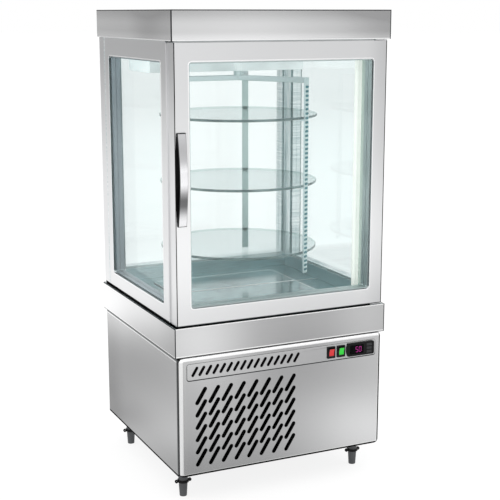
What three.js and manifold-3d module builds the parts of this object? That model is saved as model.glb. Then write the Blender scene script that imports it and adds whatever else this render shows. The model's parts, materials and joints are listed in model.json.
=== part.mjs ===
// Revolving glass display cabinet: a refrigerated showcase with a double-glazed body, a hinged glass door,
// three round glass shelves that hang from a turning spider, and a sheet-steel base that holds the
// cooling plant.
// Millimetres. +X runs to the right, +Y to the back and +Z up. The floor under the feet is z = 0, and the
// origin is below the middle of the whole cabinet, handle included.
import * as THREE from "three";
import { mergeVertices } from "three/addons/utils/BufferGeometryUtils.js";
import Module from "manifold-3d";

const wasm = await Module();
wasm.setup();

// Sizes shared by all pieces
const fit = 0.3; // gap kept between a piece and what carries it
const overrun = 4; // how far a cutter passes its piece
const sheet = 1.5; // stainless sheet
const lip = 15; // folded edge of a sheet panel

const foot = {
  height: 72,
  insetX: 33.4,
  insetY: 69.5,
  padRadius: 8.5,
  shoulderRadius: 12,
  shoulderHeight: 59,
  collarRadius: 14,
  studRadius: 5,
  studLength: 26,
  bossWall: 6,
  bossHeight: 30,
};
const base = { height: 282, sideInset: 4, reach: 6.5, floorSheet: 2 };
const frontPanel = { depth: 16, edgeRadius: 8, cornerRadius: 11 };
const strip = {
  leftMargin: 18.3,
  rightMargin: 17,
  drop: 34.5,
  height: 37.5,
  radius: 5,
  proud: 0.5,
  rim: 6,
};
const stripSlots = { count: 16, inset: 36.9, pitch: 16.95, length: 24.4, width: 5.8 };
const grille = {
  columns: 8,
  rows: 6,
  inset: 51.8,
  drop: 92.6,
  pitchX: 31.98,
  pitchZ: 29.23,
  length: 45.6,
  width: 9,
};
const slotSlant = THREE.MathUtils.degToRad(58);
const rocker = {
  halfWidth: 7,
  halfHeight: 10,
  lift: 1.6,
  crown: 3.6,
  sideDepth: 1,
  bellyDepth: 4,
  bellyHalfHeight: 4,
  axleRadius: 1.2,
  axleLength: 1.5,
};
const rockerTilt = THREE.MathUtils.degToRad(9);
const bezel = { width: 21.2, height: 28, proud: 2.4, wall: 1.2, depth: 24 };
const bezelInset = { red: 137.3, green: 110.9 };
const controlDrop = 34; // the controls' middle line below the top of the base
const controller = {
  inset: 59,
  width: 74,
  height: 32,
  radius: 4,
  bulge: 4,
  proud: 4,
  bodyInset: 3,
  depth: 28,
};
const display = { left: -29, right: 8, height: 22, depth: 1.8, radius: 2, thickness: 1.4 };
const key = { x: 23, width: 14, height: 6.2, pitch: 8.7, thickness: 2.6, proud: 0.5, travel: 0.8 };
const band = { overhang: 4.5, height: 68, flange: 24 };
const seal = { height: 6, inset: 1.2 };
const body = { width: 528, depth: 490, height: 614.5, sideThickness: 32, rearThickness: 40 };
const windows = { bottomRail: 33, topRail: 42.5, sideStile: 29, wideStile: 36, radius: 8, stop: 3 };
const pane = { thickness: 4, setback: 0.5 };
const floorPan = { sheet: 2, coverSide: 66, coverFront: 55, coverBack: 50, cover: 1.5 };
const floorSeam = { y: 18, width: 2, depth: 1 };
const sill = { drop: 1, thickness: 12 };
const cap = { overhang: 4, height: 65 };
const ceiling = { overWindow: 2, plate: 15.5 };
const door = { thickness: 37.5, sideGap: 3, underGap: 3, overGap: 3 };
const gasket = { inset: 14, width: 12, groove: 5 };
const handle = {
  inset: 4,
  width: 20.4,
  waist: 18,
  lift: 223,
  height: 203,
  reach: 16,
  thickness: 3.6,
  foot: 8,
};
const recess = { bulge: 3.2, depth: 14, wall: 2, margin: 0.6 };
const hinge = { edge: 8, face: 14.5, plateX: 30, plateY: 34, plate: 2.1 };
const hingePin = { radius: 4, length: 15, running: 0.4 };
const spider = { shaftRadius: 8, armWidth: 16, armHeight: 12, underCooler: 18.5 };
const knob = { radius: 11, height: 21 };
const leg = { gap: 1, thickness: 4, tail: 49, peg: 12, pegHeight: 4, pegWidth: 8 };
const legAngles = [180, -60, 60].map(THREE.MathUtils.degToRad);
const shelf = { count: 3, wallGap: 16, thickness: 6, lowest: 118, headroom: 80.5 };
const gearbox = { width: 96, depth: 70, height: 32, motorRadius: 22, motorHeight: 14, shaftEngage: 18 };
const lamp = { wallGap: 10, frontGap: 24, radius: 6, channelHalf: 5, bottomGap: 2 };
const coolerBox = { sideGap: 28, rearGap: 5, depth: 146, drop: 40, guardBar: 10 };
const coolerFan = { radius: 62, hole: 66, hub: 18, bottomGap: 4, height: 18, pinRadius: 3, blades: 7 };
const coil = { inset: 49, width: 236, height: 198, lift: 18, gap: 10, depth: 38, core: 10 };
const fin = { thickness: 2, pitch: 11.7, proud: 2 };
const shroud = { gap: 3, ring: 18, wall: 2, radius: 88 };
const plantFan = { radius: 84, hub: 16, height: 16, gap: 5, blades: 5, bladeThickness: 2, shaftRadius: 4 };
const plantMotor = { radius: 32, length: 46, gap: 6, arm: 8, postGap: 12, brackets: 3 };
const compressor = { side: 120, back: 181.5, radius: 78, height: 146, plateX: 176, plateY: 120, plate: 4 };
const inlet = { inset: 90, lift: 58, width: 50, height: 27, flange: 1.4, wall: 2 };
const inletCavity = { width: 26, height: 18, depth: 14 };
const vents = { rows: 7, columns: 2, margin: 45, gap: 30, drop: 36, pitch: 18, width: 7 };
const roundSides = { small: 12, medium: 20, large: 48, corner: 4 };
const weld = 1e-4; // vertices nearer than this are one vertex

const range = (count) => Array.from({ length: count }, (_, i) => i);
const both = (half) => [-half, half];
const around = (middle, half) => [middle - half, middle + half];
const grown = ([low, high], by) => [low - by, high + by];

// Levels and faces that follow from the sizes above
const baseTop = foot.height + base.height;
const bandTop = baseTop + band.height;
const bodyBottom = bandTop + seal.height;
const bodyTop = bodyBottom + body.height;
const capTop = bodyTop + cap.height;
const sideOuter = body.width / 2;
const sideInner = sideOuter - body.sideThickness;
const rearOuter = body.depth / 2;
const rearInner = rearOuter - body.rearThickness;
const baseHalf = sideOuter - base.sideInset;
const baseBack = rearOuter + base.reach;
const baseFront = -baseBack;
const controlZ = baseTop - controlDrop;
const stripFront = baseFront - strip.proud;
const windowBottom = bodyBottom + windows.bottomRail;
const windowTop = bodyTop - windows.topRail;
const ceilingLevel = windowTop + ceiling.overWindow;
const coolerBottom = ceilingLevel - coolerBox.drop;
const armBottom = coolerBottom - spider.underCooler;
const shelfRadius = Math.min(sideInner, rearInner) - shelf.wallGap;
const lowestShelf = bodyBottom + shelf.lowest;
const shelfPitch = (armBottom - shelf.headroom - lowestShelf) / (shelf.count - 1);
const shelfMiddles = range(shelf.count).map((i) => lowestShelf + i * shelfPitch);
const legRadius = shelfRadius + leg.gap;
const doorHalf = sideOuter - door.sideGap;
const doorFront = -rearOuter;
const doorBack = doorFront + door.thickness;
const doorBottom = bandTop + door.underGap;
const doorTop = bodyTop - door.overGap;
const ventSheetY = baseBack - sheet - fit;
const hingeX = doorHalf - hinge.edge;
const hingeY = doorBack - hinge.face;
const handleLeft = handle.inset - doorHalf;
const handleBottom = doorBottom + handle.lift;
// The handle stands out further than the base's back, so the cabinet moves back to centre the whole.
const centring = -(doorFront - handle.reach + baseBack) / 2;

const colours = {
  steel: [0xc9cbcd, 0.35, 1],
  satin: [0xd5d8db, 0.45, 0.9],
  polished: [0xd9dde0, 0.15, 1],
  galvanised: [0xa9adb0, 0.55, 0.9],
  clearGlass: [0xd5ebe8, 0.05, 0],
  shelfGlass: [0x9fc4bf, 0.05, 0],
  blackRubber: [0x101112, 0.8, 0],
  blackPlastic: [0x17181a, 0.45, 0],
  greyPlastic: [0x5c6062, 0.5, 0],
  charcoal: [0x3a3c3f, 0.5, 0],
  redLens: [0xe0262c, 0.3, 0],
  greenLens: [0x22d03a, 0.3, 0],
  whiteLiner: [0xe9eded, 0.5, 0],
  lampDiffuser: [0xfffdf2, 0.4, 0],
  blackEnamel: [0x1d1f21, 0.4, 0.1],
};

// Geometry helpers

function toSolid(geometry) {
  const loose = geometry.index ? geometry.toNonIndexed() : geometry.clone();
  loose.deleteAttribute("normal");
  loose.deleteAttribute("uv");
  const merged = mergeVertices(loose, weld);
  const vertProperties = merged.getAttribute("position").array;
  const triVerts = new Uint32Array(merged.index.array);
  return new wasm.Manifold(new wasm.Mesh({ numProp: 3, vertProperties, triVerts }));
}

function toGeometry(solid) {
  const { numProp, numVert, vertProperties, triVerts } = solid.getMesh();
  const position = new Float32Array(numVert * 3);
  for (let i = 0; i < numVert; i++) {
    position.set(vertProperties.subarray(i * numProp, i * numProp + 3), i * 3);
  }
  const geometry = new THREE.BufferGeometry();
  geometry.setAttribute("position", new THREE.BufferAttribute(position, 3));
  geometry.setIndex(new THREE.BufferAttribute(triVerts, 1));
  const flat = geometry.toNonIndexed();
  flat.computeVertexNormals();
  return flat;
}

function join(solids) {
  return solids.reduce((sum, next) => sum.add(next));
}

function cut(solid, cutters) {
  return cutters.reduce((rest, cutter) => rest.subtract(cutter), solid);
}

// A block between two places on each axis.
function block([x0, x1], [y0, y1], [z0, z1]) {
  const geometry = new THREE.BoxGeometry(x1 - x0, y1 - y0, z1 - z0);
  geometry.translate((x0 + x1) / 2, (y0 + y1) / 2, (z0 + z1) / 2);
  return toSolid(geometry);
}

// An outline drawn in the two other axes, carried along one axis from one place to another.
const turnsTo = {
  x: [new THREE.Vector3(0, 1, 0), new THREE.Vector3(0, 0, 1), new THREE.Vector3(1, 0, 0)],
  y: [new THREE.Vector3(1, 0, 0), new THREE.Vector3(0, 0, 1), new THREE.Vector3(0, -1, 0)],
  z: [new THREE.Vector3(1, 0, 0), new THREE.Vector3(0, 1, 0), new THREE.Vector3(0, 0, 1)],
};
function prism(shape, axis, [from, to], sides = roundSides.corner) {
  const settings = { depth: to - from, bevelEnabled: false, curveSegments: sides, steps: 1 };
  const geometry = new THREE.ExtrudeGeometry(shape, settings);
  geometry.applyMatrix4(new THREE.Matrix4().makeBasis(...turnsTo[axis]));
  const start = axis === "y" ? to : from;
  geometry.translate(axis === "x" ? start : 0, axis === "y" ? start : 0, axis === "z" ? start : 0);
  return toSolid(geometry);
}

function roundedRectangle([u0, u1], [v0, v1], radius) {
  const shape = new THREE.Shape();
  shape.absarc(u1 - radius, v0 + radius, radius, -Math.PI / 2, 0);
  shape.absarc(u1 - radius, v1 - radius, radius, 0, Math.PI / 2);
  shape.absarc(u0 + radius, v1 - radius, radius, Math.PI / 2, Math.PI);
  shape.absarc(u0 + radius, v0 + radius, radius, Math.PI, Math.PI * 1.5);
  shape.closePath();
  return shape;
}

function circle(u, v, radius) {
  return new THREE.Shape().absarc(u, v, radius, 0, Math.PI * 2);
}

// A slot with round ends, leaning by the given angle from the level.
function slantedSlot(u, v, length, width, angle) {
  const reach = (length - width) / 2;
  const du = Math.cos(angle) * reach;
  const dv = Math.sin(angle) * reach;
  const shape = new THREE.Shape();
  shape.absarc(u + du, v + dv, width / 2, angle - Math.PI / 2, angle + Math.PI / 2);
  shape.absarc(u - du, v - dv, width / 2, angle + Math.PI / 2, angle + Math.PI * 1.5);
  shape.closePath();
  return shape;
}

// A turned piece about +Z from [radius, height] pairs, listed from the bottom up.
function turned(profile, sides) {
  const points = profile.map(([radius, height]) => new THREE.Vector2(radius, height));
  const geometry = new THREE.LatheGeometry(points, sides);
  geometry.rotateX(Math.PI / 2);
  return toSolid(geometry);
}

// A closed skin over rings of points that all have the same count; both ends are closed by fans.
function loft(rings) {
  const count = rings[0].length;
  const corners = rings.flat();
  const triangles = [];
  for (let r = 0; r + 1 < rings.length; r++) {
    for (let i = 0; i < count; i++) {
      const a = r * count + i;
      const b = r * count + ((i + 1) % count);
      triangles.push(a, b, a + count, b, b + count, a + count);
    }
  }
  const last = (rings.length - 1) * count;
  for (let i = 1; i + 1 < count; i++) {
    triangles.push(0, i + 1, i, last, last + i, last + i + 1);
  }
  const geometry = new THREE.BufferGeometry();
  geometry.setAttribute("position", new THREE.Float32BufferAttribute(corners.flat(), 3));
  geometry.setIndex(triangles);
  return toSolid(geometry);
}

// Corner points of a rounded rectangle seen along Y, in order, at one depth.
function ringAtY([x0, x1], [z0, z1], radius, y) {
  const centres = [
    [x0 + radius, z0 + radius, Math.PI],
    [x0 + radius, z1 - radius, Math.PI / 2],
    [x1 - radius, z1 - radius, 0],
    [x1 - radius, z0 + radius, -Math.PI / 2],
  ];
  return centres.flatMap(([x, z, start]) =>
    Array.from({ length: roundSides.corner + 1 }, (_, i) => {
      const angle = start + (Math.PI / 2) * (1 - i / roundSides.corner);
      return [x + Math.cos(angle) * radius, y, z + Math.sin(angle) * radius];
    }),
  );
}

// A tray that is open at the back, with rolled front edges.
function tray([x0, x1], [z0, z1], [front, back], edge, corner) {
  const rings = [];
  for (let i = 0; i <= roundSides.corner; i++) {
    const angle = ((Math.PI / 2) * i) / roundSides.corner;
    const inset = edge * (1 - Math.sin(angle));
    const depth = front + edge * (1 - Math.cos(angle));
    rings.push(ringAtY([x0 + inset, x1 - inset], [z0 + inset, z1 - inset], corner - inset, depth));
  }
  rings.push(ringAtY([x0, x1], [z0, z1], corner, back));
  return loft(rings);
}

function toMesh(name, solid, [color, roughness, metalness], angle = 0) {
  const material = new THREE.MeshStandardMaterial({ color, roughness, metalness });
  const mesh = new THREE.Mesh(toGeometry(solid), material);
  mesh.name = name;
  mesh.rotation.z = angle;
  return mesh;
}

// Feet

function footPlaces() {
  const x = baseHalf - foot.insetX;
  const y = baseBack - foot.insetY;
  return { front_left: [-x, -y], front_right: [x, -y], rear_left: [-x, y], rear_right: [x, y] };
}

function makeFoot() {
  const seat = foot.height - fit;
  const studTop = foot.height + foot.studLength;
  const profile = [
    [0, 0],
    [foot.padRadius, 0],
    [foot.shoulderRadius, foot.shoulderHeight],
    [foot.collarRadius, foot.shoulderHeight],
    [foot.collarRadius, seat],
    [foot.studRadius, seat],
    [foot.studRadius, studTop],
    [0, studTop],
  ];
  return turned(profile, roundSides.medium);
}

function makeFeet() {
  return Object.entries(footPlaces()).map(([place, [x, y]]) => {
    const mesh = toMesh("foot_" + place, makeFoot(), colours.greyPlastic);
    mesh.position.set(x, y, 0);
    return mesh;
  });
}

// Base housing

const baseInnerX = baseHalf - sheet - fit;

function makeBaseFloor() {
  const plateTop = foot.height + base.floorSheet;
  const front = baseFront + frontPanel.depth + fit;
  const plate = block(both(baseInnerX), [front, ventSheetY - sheet - fit], [foot.height, plateTop]);
  const bossRadius = foot.studRadius + fit + foot.bossWall;
  const places = Object.values(footPlaces());
  const bossTop = foot.height + foot.bossHeight;
  const bosses = places.map(([x, y]) =>
    prism(circle(x, y, bossRadius), "z", [foot.height, bossTop], roundSides.medium),
  );
  const bores = places.map(([x, y]) =>
    prism(
      circle(x, y, foot.studRadius + fit),
      "z",
      [foot.height - overrun, bossTop + overrun],
      roundSides.medium,
    ),
  );
  return cut(join([plate, ...bosses]), bores);
}

function makeBaseSide(side) {
  const outer = side * baseHalf;
  const across = (from, to) => [outer - side * from, outer - side * to].sort((a, b) => a - b);
  const front = baseFront + frontPanel.depth + fit;
  const back = baseBack;
  const low = foot.height;
  const high = baseTop - fit;
  const bossClear = foot.height + base.floorSheet + fit;
  const skin = block(across(0, sheet), [front, back], [low, high]);
  const frontLip = block(across(0, lip), [front, front + sheet], [bossClear, high]);
  const rearLip = block(across(0, lip), [back - sheet, back], [low, high]);
  const topLip = block(across(0, lip), [front, back], [high - sheet, high]);
  return join([skin, frontLip, rearLip, topLip]);
}

const inletX = inlet.inset - baseHalf;
const inletZ = foot.height + inlet.lift;

function inletHole() {
  const halfX = inletCavity.width / 2 + inlet.wall;
  const halfZ = inletCavity.height / 2 + inlet.wall;
  return [around(inletX, halfX), around(inletZ, halfZ)];
}

function makeBaseBack() {
  const span = [foot.height + base.floorSheet + fit, baseTop - fit - sheet - fit];
  const skin = block(both(baseInnerX), [ventSheetY - sheet, ventSheetY], span);
  const through = [ventSheetY - sheet - overrun, ventSheetY + overrun];
  const field = 2 * (baseHalf - vents.margin);
  const length = (field - (vents.columns - 1) * vents.gap) / vents.columns;
  const slots = range(vents.columns * vents.rows).map((i) => {
    const x = length / 2 - field / 2 + (i % vents.columns) * (length + vents.gap);
    const z = baseTop - vents.drop - Math.floor(i / vents.columns) * vents.pitch;
    return prism(slantedSlot(x, z, length, vents.width, 0), "y", through);
  });
  const [holeX, holeZ] = inletHole();
  const hole = block(grown(holeX, fit), through, grown(holeZ, fit));
  return cut(skin, [...slots, hole]);
}

function makePowerInlet() {
  const outside = ventSheetY + fit;
  const [holeX, holeZ] = inletHole();
  const inside = outside - inletCavity.depth - inlet.wall;
  const flangeX = around(inletX, inlet.width / 2);
  const flange = block(flangeX, [outside, outside + inlet.flange], around(inletZ, inlet.height / 2));
  const shell = block(holeX, [inside, outside], holeZ);
  const cavity = block(
    grown(holeX, -inlet.wall),
    [inside + inlet.wall, outside + overrun],
    grown(holeZ, -inlet.wall),
  );
  const pins = [-1, 0, 1].map((step) => {
    const x = inletX + (step * inletCavity.width) / 4;
    const rise = step === 0 ? inletCavity.height / 6 : -inletCavity.height / 6;
    const length = [inside, outside - inlet.wall];
    return block(around(x, inlet.wall / 2), length, around(inletZ + rise, inlet.wall));
  });
  return join([cut(join([flange, shell]), [cavity]), ...pins]);
}

// Front panel with its grille, and the control strip let into it

const stripX = [strip.leftMargin - baseHalf, baseHalf - strip.rightMargin];
const stripZ = around(baseTop - strip.drop, strip.height / 2);

function makeFrontPanel() {
  const spanX = both(baseHalf);
  const spanZ = [foot.height, baseTop - fit];
  const back = baseFront + frontPanel.depth;
  const edge = frontPanel.edgeRadius;
  const skin = tray(spanX, spanZ, [baseFront, back], edge, frontPanel.cornerRadius);
  const hollow = tray(
    grown(spanX, -sheet),
    grown(spanZ, -sheet),
    [baseFront + sheet, back + overrun],
    edge - sheet,
    frontPanel.cornerRadius - sheet,
  );
  const through = [baseFront - overrun, baseFront + sheet + overrun];
  const slots = range(grille.columns * grille.rows).map((i) => {
    const x = grille.inset - baseHalf + (i % grille.columns) * grille.pitchX;
    const z = baseTop - grille.drop - Math.floor(i / grille.columns) * grille.pitchZ;
    return prism(slantedSlot(x, z, grille.length, grille.width, slotSlant), "y", through);
  });
  const opening = roundedRectangle(grown(stripX, fit), grown(stripZ, fit), strip.radius + fit);
  return cut(skin, [hollow, prism(opening, "y", through), ...slots]);
}

function controllerFace(x0, x1, halfHeight, bulge, radius) {
  const shape = new THREE.Shape();
  const [low, high] = around(controlZ, halfHeight);
  shape.moveTo(x0 + bulge, low);
  shape.absarc(x1 - radius, low + radius, radius, -Math.PI / 2, 0);
  shape.absarc(x1 - radius, high - radius, radius, 0, Math.PI / 2);
  shape.lineTo(x0 + bulge, high);
  shape.quadraticCurveTo(x0 - bulge, controlZ, x0 + bulge, low);
  return shape;
}

const controllerX = baseHalf - controller.inset;
const controllerHalf = controller.width / 2;
const controllerBodyX = around(controllerX, controllerHalf - controller.bodyInset - controller.bulge / 2);
const controllerBodyZ = around(controlZ, controller.height / 2 - controller.bodyInset);
const redSwitchX = baseHalf - bezelInset.red;
const greenSwitchX = baseHalf - bezelInset.green;
const switchCavityHalf = Math.hypot(rocker.halfHeight, rocker.crown + rocker.lift) + fit;
const switchBodyHalfX = rocker.halfWidth + fit + rocker.axleLength + bezel.wall;
const switchBodyHalfZ = switchCavityHalf + bezel.wall;

function makeControlStrip() {
  const behind = baseFront + sheet + fit;
  const face = prism(roundedRectangle(stripX, stripZ, strip.radius), "y", [stripFront, behind + sheet]);
  const rimRadius = strip.radius + strip.rim;
  const rimShape = roundedRectangle(grown(stripX, strip.rim), grown(stripZ, strip.rim), rimRadius);
  const rim = prism(rimShape, "y", [behind, behind + sheet]);
  const through = [stripFront - overrun, behind + sheet + overrun];
  const slots = range(stripSlots.count).map((i) => {
    const x = stripSlots.inset - baseHalf + i * stripSlots.pitch;
    return prism(slantedSlot(x, controlZ, stripSlots.length, stripSlots.width, slotSlant), "y", through);
  });
  const switchHoles = [redSwitchX, greenSwitchX].map((x) =>
    block(around(x, switchBodyHalfX + fit), through, around(controlZ, switchBodyHalfZ + fit)),
  );
  const controllerHole = block(grown(controllerBodyX, fit), through, grown(controllerBodyZ, fit));
  return cut(join([face, rim]), [...slots, ...switchHoles, controllerHole]);
}

// Rocker switches

const bezelBack = stripFront - fit;
const bezelFront = bezelBack - bezel.proud;
const rockerAxleY = bezelFront + rocker.crown;

function makeSwitchHousing(x) {
  const frameX = around(x, bezel.width / 2);
  const frameZ = around(controlZ, bezel.height / 2);
  const frame = prism(roundedRectangle(frameX, frameZ, bezel.wall), "y", [bezelFront, bezelBack]);
  const depth = [bezelBack, bezelBack + bezel.depth];
  const shell = block(around(x, switchBodyHalfX), depth, around(controlZ, switchBodyHalfZ));
  const cavityX = around(x, rocker.halfWidth + fit);
  const cavityBack = rockerAxleY + Math.hypot(rocker.bellyDepth, rocker.bellyHalfHeight) + fit;
  const cavityY = [bezelFront - overrun, cavityBack];
  const cavity = block(cavityX, cavityY, around(controlZ, switchCavityHalf));
  const axleHole = circle(rockerAxleY, controlZ, rocker.axleRadius + fit);
  const axleBore = prism(axleHole, "x", grown(cavityX, rocker.axleLength), roundSides.small);
  return cut(join([frame, shell]), [cavity, axleBore]);
}

// The rocker at rest has its lower half pressed in.
function makeRocker(x) {
  const lifted = rocker.crown + rocker.lift;
  const outline = [
    [-lifted, rocker.halfHeight],
    [-rocker.crown, 0],
    [-lifted, -rocker.halfHeight],
    [rocker.sideDepth, -rocker.halfHeight],
    [rocker.bellyDepth, -rocker.bellyHalfHeight],
    [rocker.bellyDepth, rocker.bellyHalfHeight],
    [rocker.sideDepth, rocker.halfHeight],
  ];
  const shape = new THREE.Shape(outline.map(([y, z]) => new THREE.Vector2(y, z)));
  const wing = prism(shape, "x", both(rocker.halfWidth));
  const axleReach = both(rocker.halfWidth + rocker.axleLength - fit);
  const axle = prism(circle(0, 0, rocker.axleRadius), "x", axleReach, roundSides.small);
  const geometry = toGeometry(wing.add(axle));
  geometry.rotateX(rockerTilt);
  geometry.translate(x, rockerAxleY, controlZ);
  return toSolid(geometry);
}

// Temperature controller

const controllerBack = stripFront - fit;
const controllerFront = controllerBack - controller.proud;

function displaySpan() {
  const spanX = [controllerX + display.left, controllerX + display.right];
  return [spanX, around(controlZ, display.height / 2)];
}

function keySpan(step) {
  const z = controlZ + step * key.pitch;
  return [around(controllerX + key.x, key.width / 2), around(z, key.height / 2)];
}

const keyBack = controllerFront - key.proud + key.thickness;

function makeControllerHousing() {
  const face = controllerFace(
    controllerX - controllerHalf,
    controllerX + controllerHalf,
    controller.height / 2,
    controller.bulge,
    controller.radius,
  );
  const plate = prism(face, "y", [controllerFront, controllerBack]);
  const shell = block(controllerBodyX, [controllerBack, controllerBack + controller.depth], controllerBodyZ);
  const [displayX, displayZ] = displaySpan();
  const pocketShape = roundedRectangle(displayX, displayZ, display.radius);
  const pocket = prism(pocketShape, "y", [controllerFront - overrun, controllerFront + display.depth]);
  const wells = [-1, 0, 1].map((step) => {
    const [spanX, spanZ] = keySpan(step);
    const well = [controllerFront - overrun, keyBack + key.travel + fit];
    return block(grown(spanX, fit), well, grown(spanZ, fit));
  });
  return cut(join([plate, shell]), [pocket, ...wells]);
}

function makeDisplayWindow() {
  const [spanX, spanZ] = displaySpan();
  const shape = roundedRectangle(grown(spanX, -fit), grown(spanZ, -fit), display.radius - fit);
  const back = controllerFront + display.depth - fit;
  return prism(shape, "y", [back - display.thickness, back]);
}

function makeKey(step) {
  const [spanX, spanZ] = keySpan(step);
  return block(spanX, [controllerFront - key.proud, keyBack], spanZ);
}

// Cooling plant inside the base

const coilFront = baseFront + frontPanel.depth + coil.gap;
const coilBack = coilFront + coil.depth;
const shroudFront = coilBack + shroud.gap;
const shroudBack = shroudFront + sheet;
const plateTop = foot.height + base.floorSheet;
const coilLeft = coil.inset - baseHalf;
const coilX = [coilLeft, coilLeft + coil.width];
const coilZ = [plateTop + coil.lift, plateTop + coil.lift + coil.height];
const fanX = coilLeft + coil.width / 2;
const fanZ = coilZ[0] + coil.height / 2;

function makeCondenserCoil() {
  const coreFront = (coilFront + coilBack - coil.core) / 2;
  const core = block(coilX, [coreFront, coreFront + coil.core], coilZ);
  const fins = range(Math.floor((coil.width - fin.thickness) / fin.pitch) + 1).map((i) => {
    const x = coilLeft + i * fin.pitch;
    return block([x, x + fin.thickness], [coilFront, coilBack], grown(coilZ, fin.proud));
  });
  const footing = block(coilX, [coilFront, coilBack], [plateTop + fit, coilZ[0]]);
  return join([core, footing, ...fins]);
}

function makeShroud() {
  const low = plateTop + fit;
  const plate = block(coilX, [shroudFront, shroudBack], [low, coilZ[1]]);
  const foldedFoot = block(coilX, [coilBack + fit, shroudFront], [low, low + sheet]);
  const ring = prism(
    circle(fanX, fanZ, shroud.radius + shroud.wall),
    "y",
    [shroudFront, shroudBack + shroud.ring],
    roundSides.large,
  );
  const opening = prism(
    circle(fanX, fanZ, shroud.radius),
    "y",
    [shroudFront - overrun, shroudBack + shroud.ring + overrun],
    roundSides.large,
  );
  return cut(join([plate, foldedFoot, ring]), [opening]);
}

// A fan about the origin whose shaft runs along Z: a hub and leaning blades.
function fanWheel(radius, hub, height, blades, bladeThickness) {
  const hubSolid = prism(circle(0, 0, hub), "z", [0, height], roundSides.medium);
  const bladeWidth = height * 0.9;
  const made = range(blades).map((i) => {
    const blade = new THREE.BoxGeometry(radius - hub / 2, bladeThickness, bladeWidth * 1.4);
    blade.rotateX(Math.PI / 4);
    blade.translate((radius + hub / 2) / 2, 0, height / 2);
    blade.rotateZ((Math.PI * 2 * i) / blades);
    return toSolid(blade);
  });
  const slice = prism(circle(0, 0, radius), "z", [0, height], roundSides.large);
  return join([hubSolid, ...made]).intersect(slice);
}

const plantFanFront = shroudBack + plantFan.gap;
const plantMotorFront = plantFanFront + plantFan.height + plantMotor.gap;

function makeCondenserFan() {
  const { radius, hub, height, blades, bladeThickness } = plantFan;
  const wheel = fanWheel(radius, hub, height, blades, bladeThickness);
  const boreShape = circle(0, 0, plantFan.shaftRadius + fit);
  const bore = prism(boreShape, "z", [-overrun, plantFan.height + overrun], roundSides.small);
  const geometry = toGeometry(wheel.subtract(bore));
  geometry.rotateX(-Math.PI / 2);
  geometry.translate(fanX, plantFanFront, fanZ);
  return toSolid(geometry);
}

function makeCondenserMotor() {
  const back = plantMotorFront + plantMotor.length;
  const can = prism(circle(fanX, fanZ, plantMotor.radius), "y", [plantMotorFront, back], roundSides.medium);
  const shaftShape = circle(fanX, fanZ, plantFan.shaftRadius);
  const shaft = prism(shaftShape, "y", [plantFanFront, plantMotorFront], roundSides.small);
  const half = plantMotor.arm / 2;
  const reach = shroud.radius + plantMotor.postGap;
  const arms = range(plantMotor.brackets).map((i) => {
    const bar = block([0, reach], [0, plantMotor.arm], both(half));
    const postFront = shroudBack + fit - plantMotorFront - half;
    const post = block([reach - plantMotor.arm, reach], [postFront, half], both(half));
    const geometry = toGeometry(bar.add(post));
    geometry.rotateY((Math.PI * 2 * i) / plantMotor.brackets + Math.PI / 2);
    geometry.translate(fanX, plantMotorFront + half, fanZ);
    return toSolid(geometry);
  });
  return join([can, shaft, ...arms]);
}

function makeCompressor() {
  const x = baseHalf - compressor.side;
  const y = baseBack - compressor.back;
  const floor = plateTop + fit;
  const spanX = around(x, compressor.plateX / 2);
  const spanY = around(y, compressor.plateY / 2);
  const plate = block(spanX, spanY, [floor, floor + compressor.plate]);
  const shares = [
    [0, 0],
    [0.8, 0.02],
    [0.94, 0.1],
    [0.97, 0.41],
    [1, 0.43],
    [1, 0.48],
    [0.97, 0.5],
    [0.92, 0.76],
    [0.6, 0.95],
    [0, 1],
  ];
  const pot = turned(
    shares.map(([out, up]) => [out * compressor.radius, up * compressor.height]),
    roundSides.medium,
  );
  return plate.add(pot.translate([x, y, floor]));
}

// Band, insulated floor, floor pan and seal

const bandX = both(sideOuter + band.overhang);
const bandY = both(rearOuter + band.overhang);

function makeBand() {
  const [spanX, spanY] = [bandX, bandY];
  const outer = block(spanX, spanY, [baseTop, bandTop]);
  const above = block(grown(spanX, -sheet), grown(spanY, -sheet), [baseTop + sheet, bandTop + overrun]);
  const below = block(grown(spanX, -band.flange), grown(spanY, -band.flange), [baseTop - overrun, bandTop]);
  return cut(outer, [above, below]);
}

const chamberX = both(sideInner - fit);
const chamberY = both(rearInner - fit);

function makeCabinetFloor() {
  const inBand = -sheet - fit;
  const slab = block(grown(bandX, inBand), grown(bandY, inBand), [baseTop + sheet + fit, bandTop - fit]);
  const step = block(chamberX, chamberY, [bandTop - fit, bodyBottom]);
  const sillY = [chamberY[0], chamberY[0] + sill.thickness];
  const doorSill = block(chamberX, sillY, [bodyBottom, windowBottom - sill.drop]);
  return join([slab, step, doorSill]);
}

function makeFloorTray() {
  const low = bodyBottom + fit;
  const top = low + floorPan.sheet;
  const front = chamberY[0] + sill.thickness + fit;
  const pan = block(grown(chamberX, -fit), [front, chamberY[1] - fit], [low, top]);
  const coverX = both(sideInner - floorPan.coverSide);
  const coverY = [floorPan.coverFront - rearInner, rearInner - floorPan.coverBack];
  const cover = roundedRectangle(coverX, coverY, lip);
  const raised = prism(cover, "z", [low, top + floorPan.cover]);
  const seamTop = top + floorPan.cover;
  const seamY = [floorSeam.y - floorSeam.width / 2, floorSeam.y + floorSeam.width / 2];
  const seam = block(grown(coverX, overrun), seamY, [seamTop - floorSeam.depth, seamTop + overrun]);
  return cut(join([pan, raised]), [seam]);
}

function makeBodySeal() {
  const outerX = both(sideOuter - seal.inset);
  const spanZ = [bandTop, bodyBottom - fit];
  const back = rearOuter - seal.inset;
  const outer = block(outerX, [-rearInner, back], spanZ);
  const inner = block(grown(chamberX, fit), [-rearInner - overrun, rearInner], grown(spanZ, overrun));
  return cut(outer, [inner]);
}

// Double-glazed frames

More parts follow.
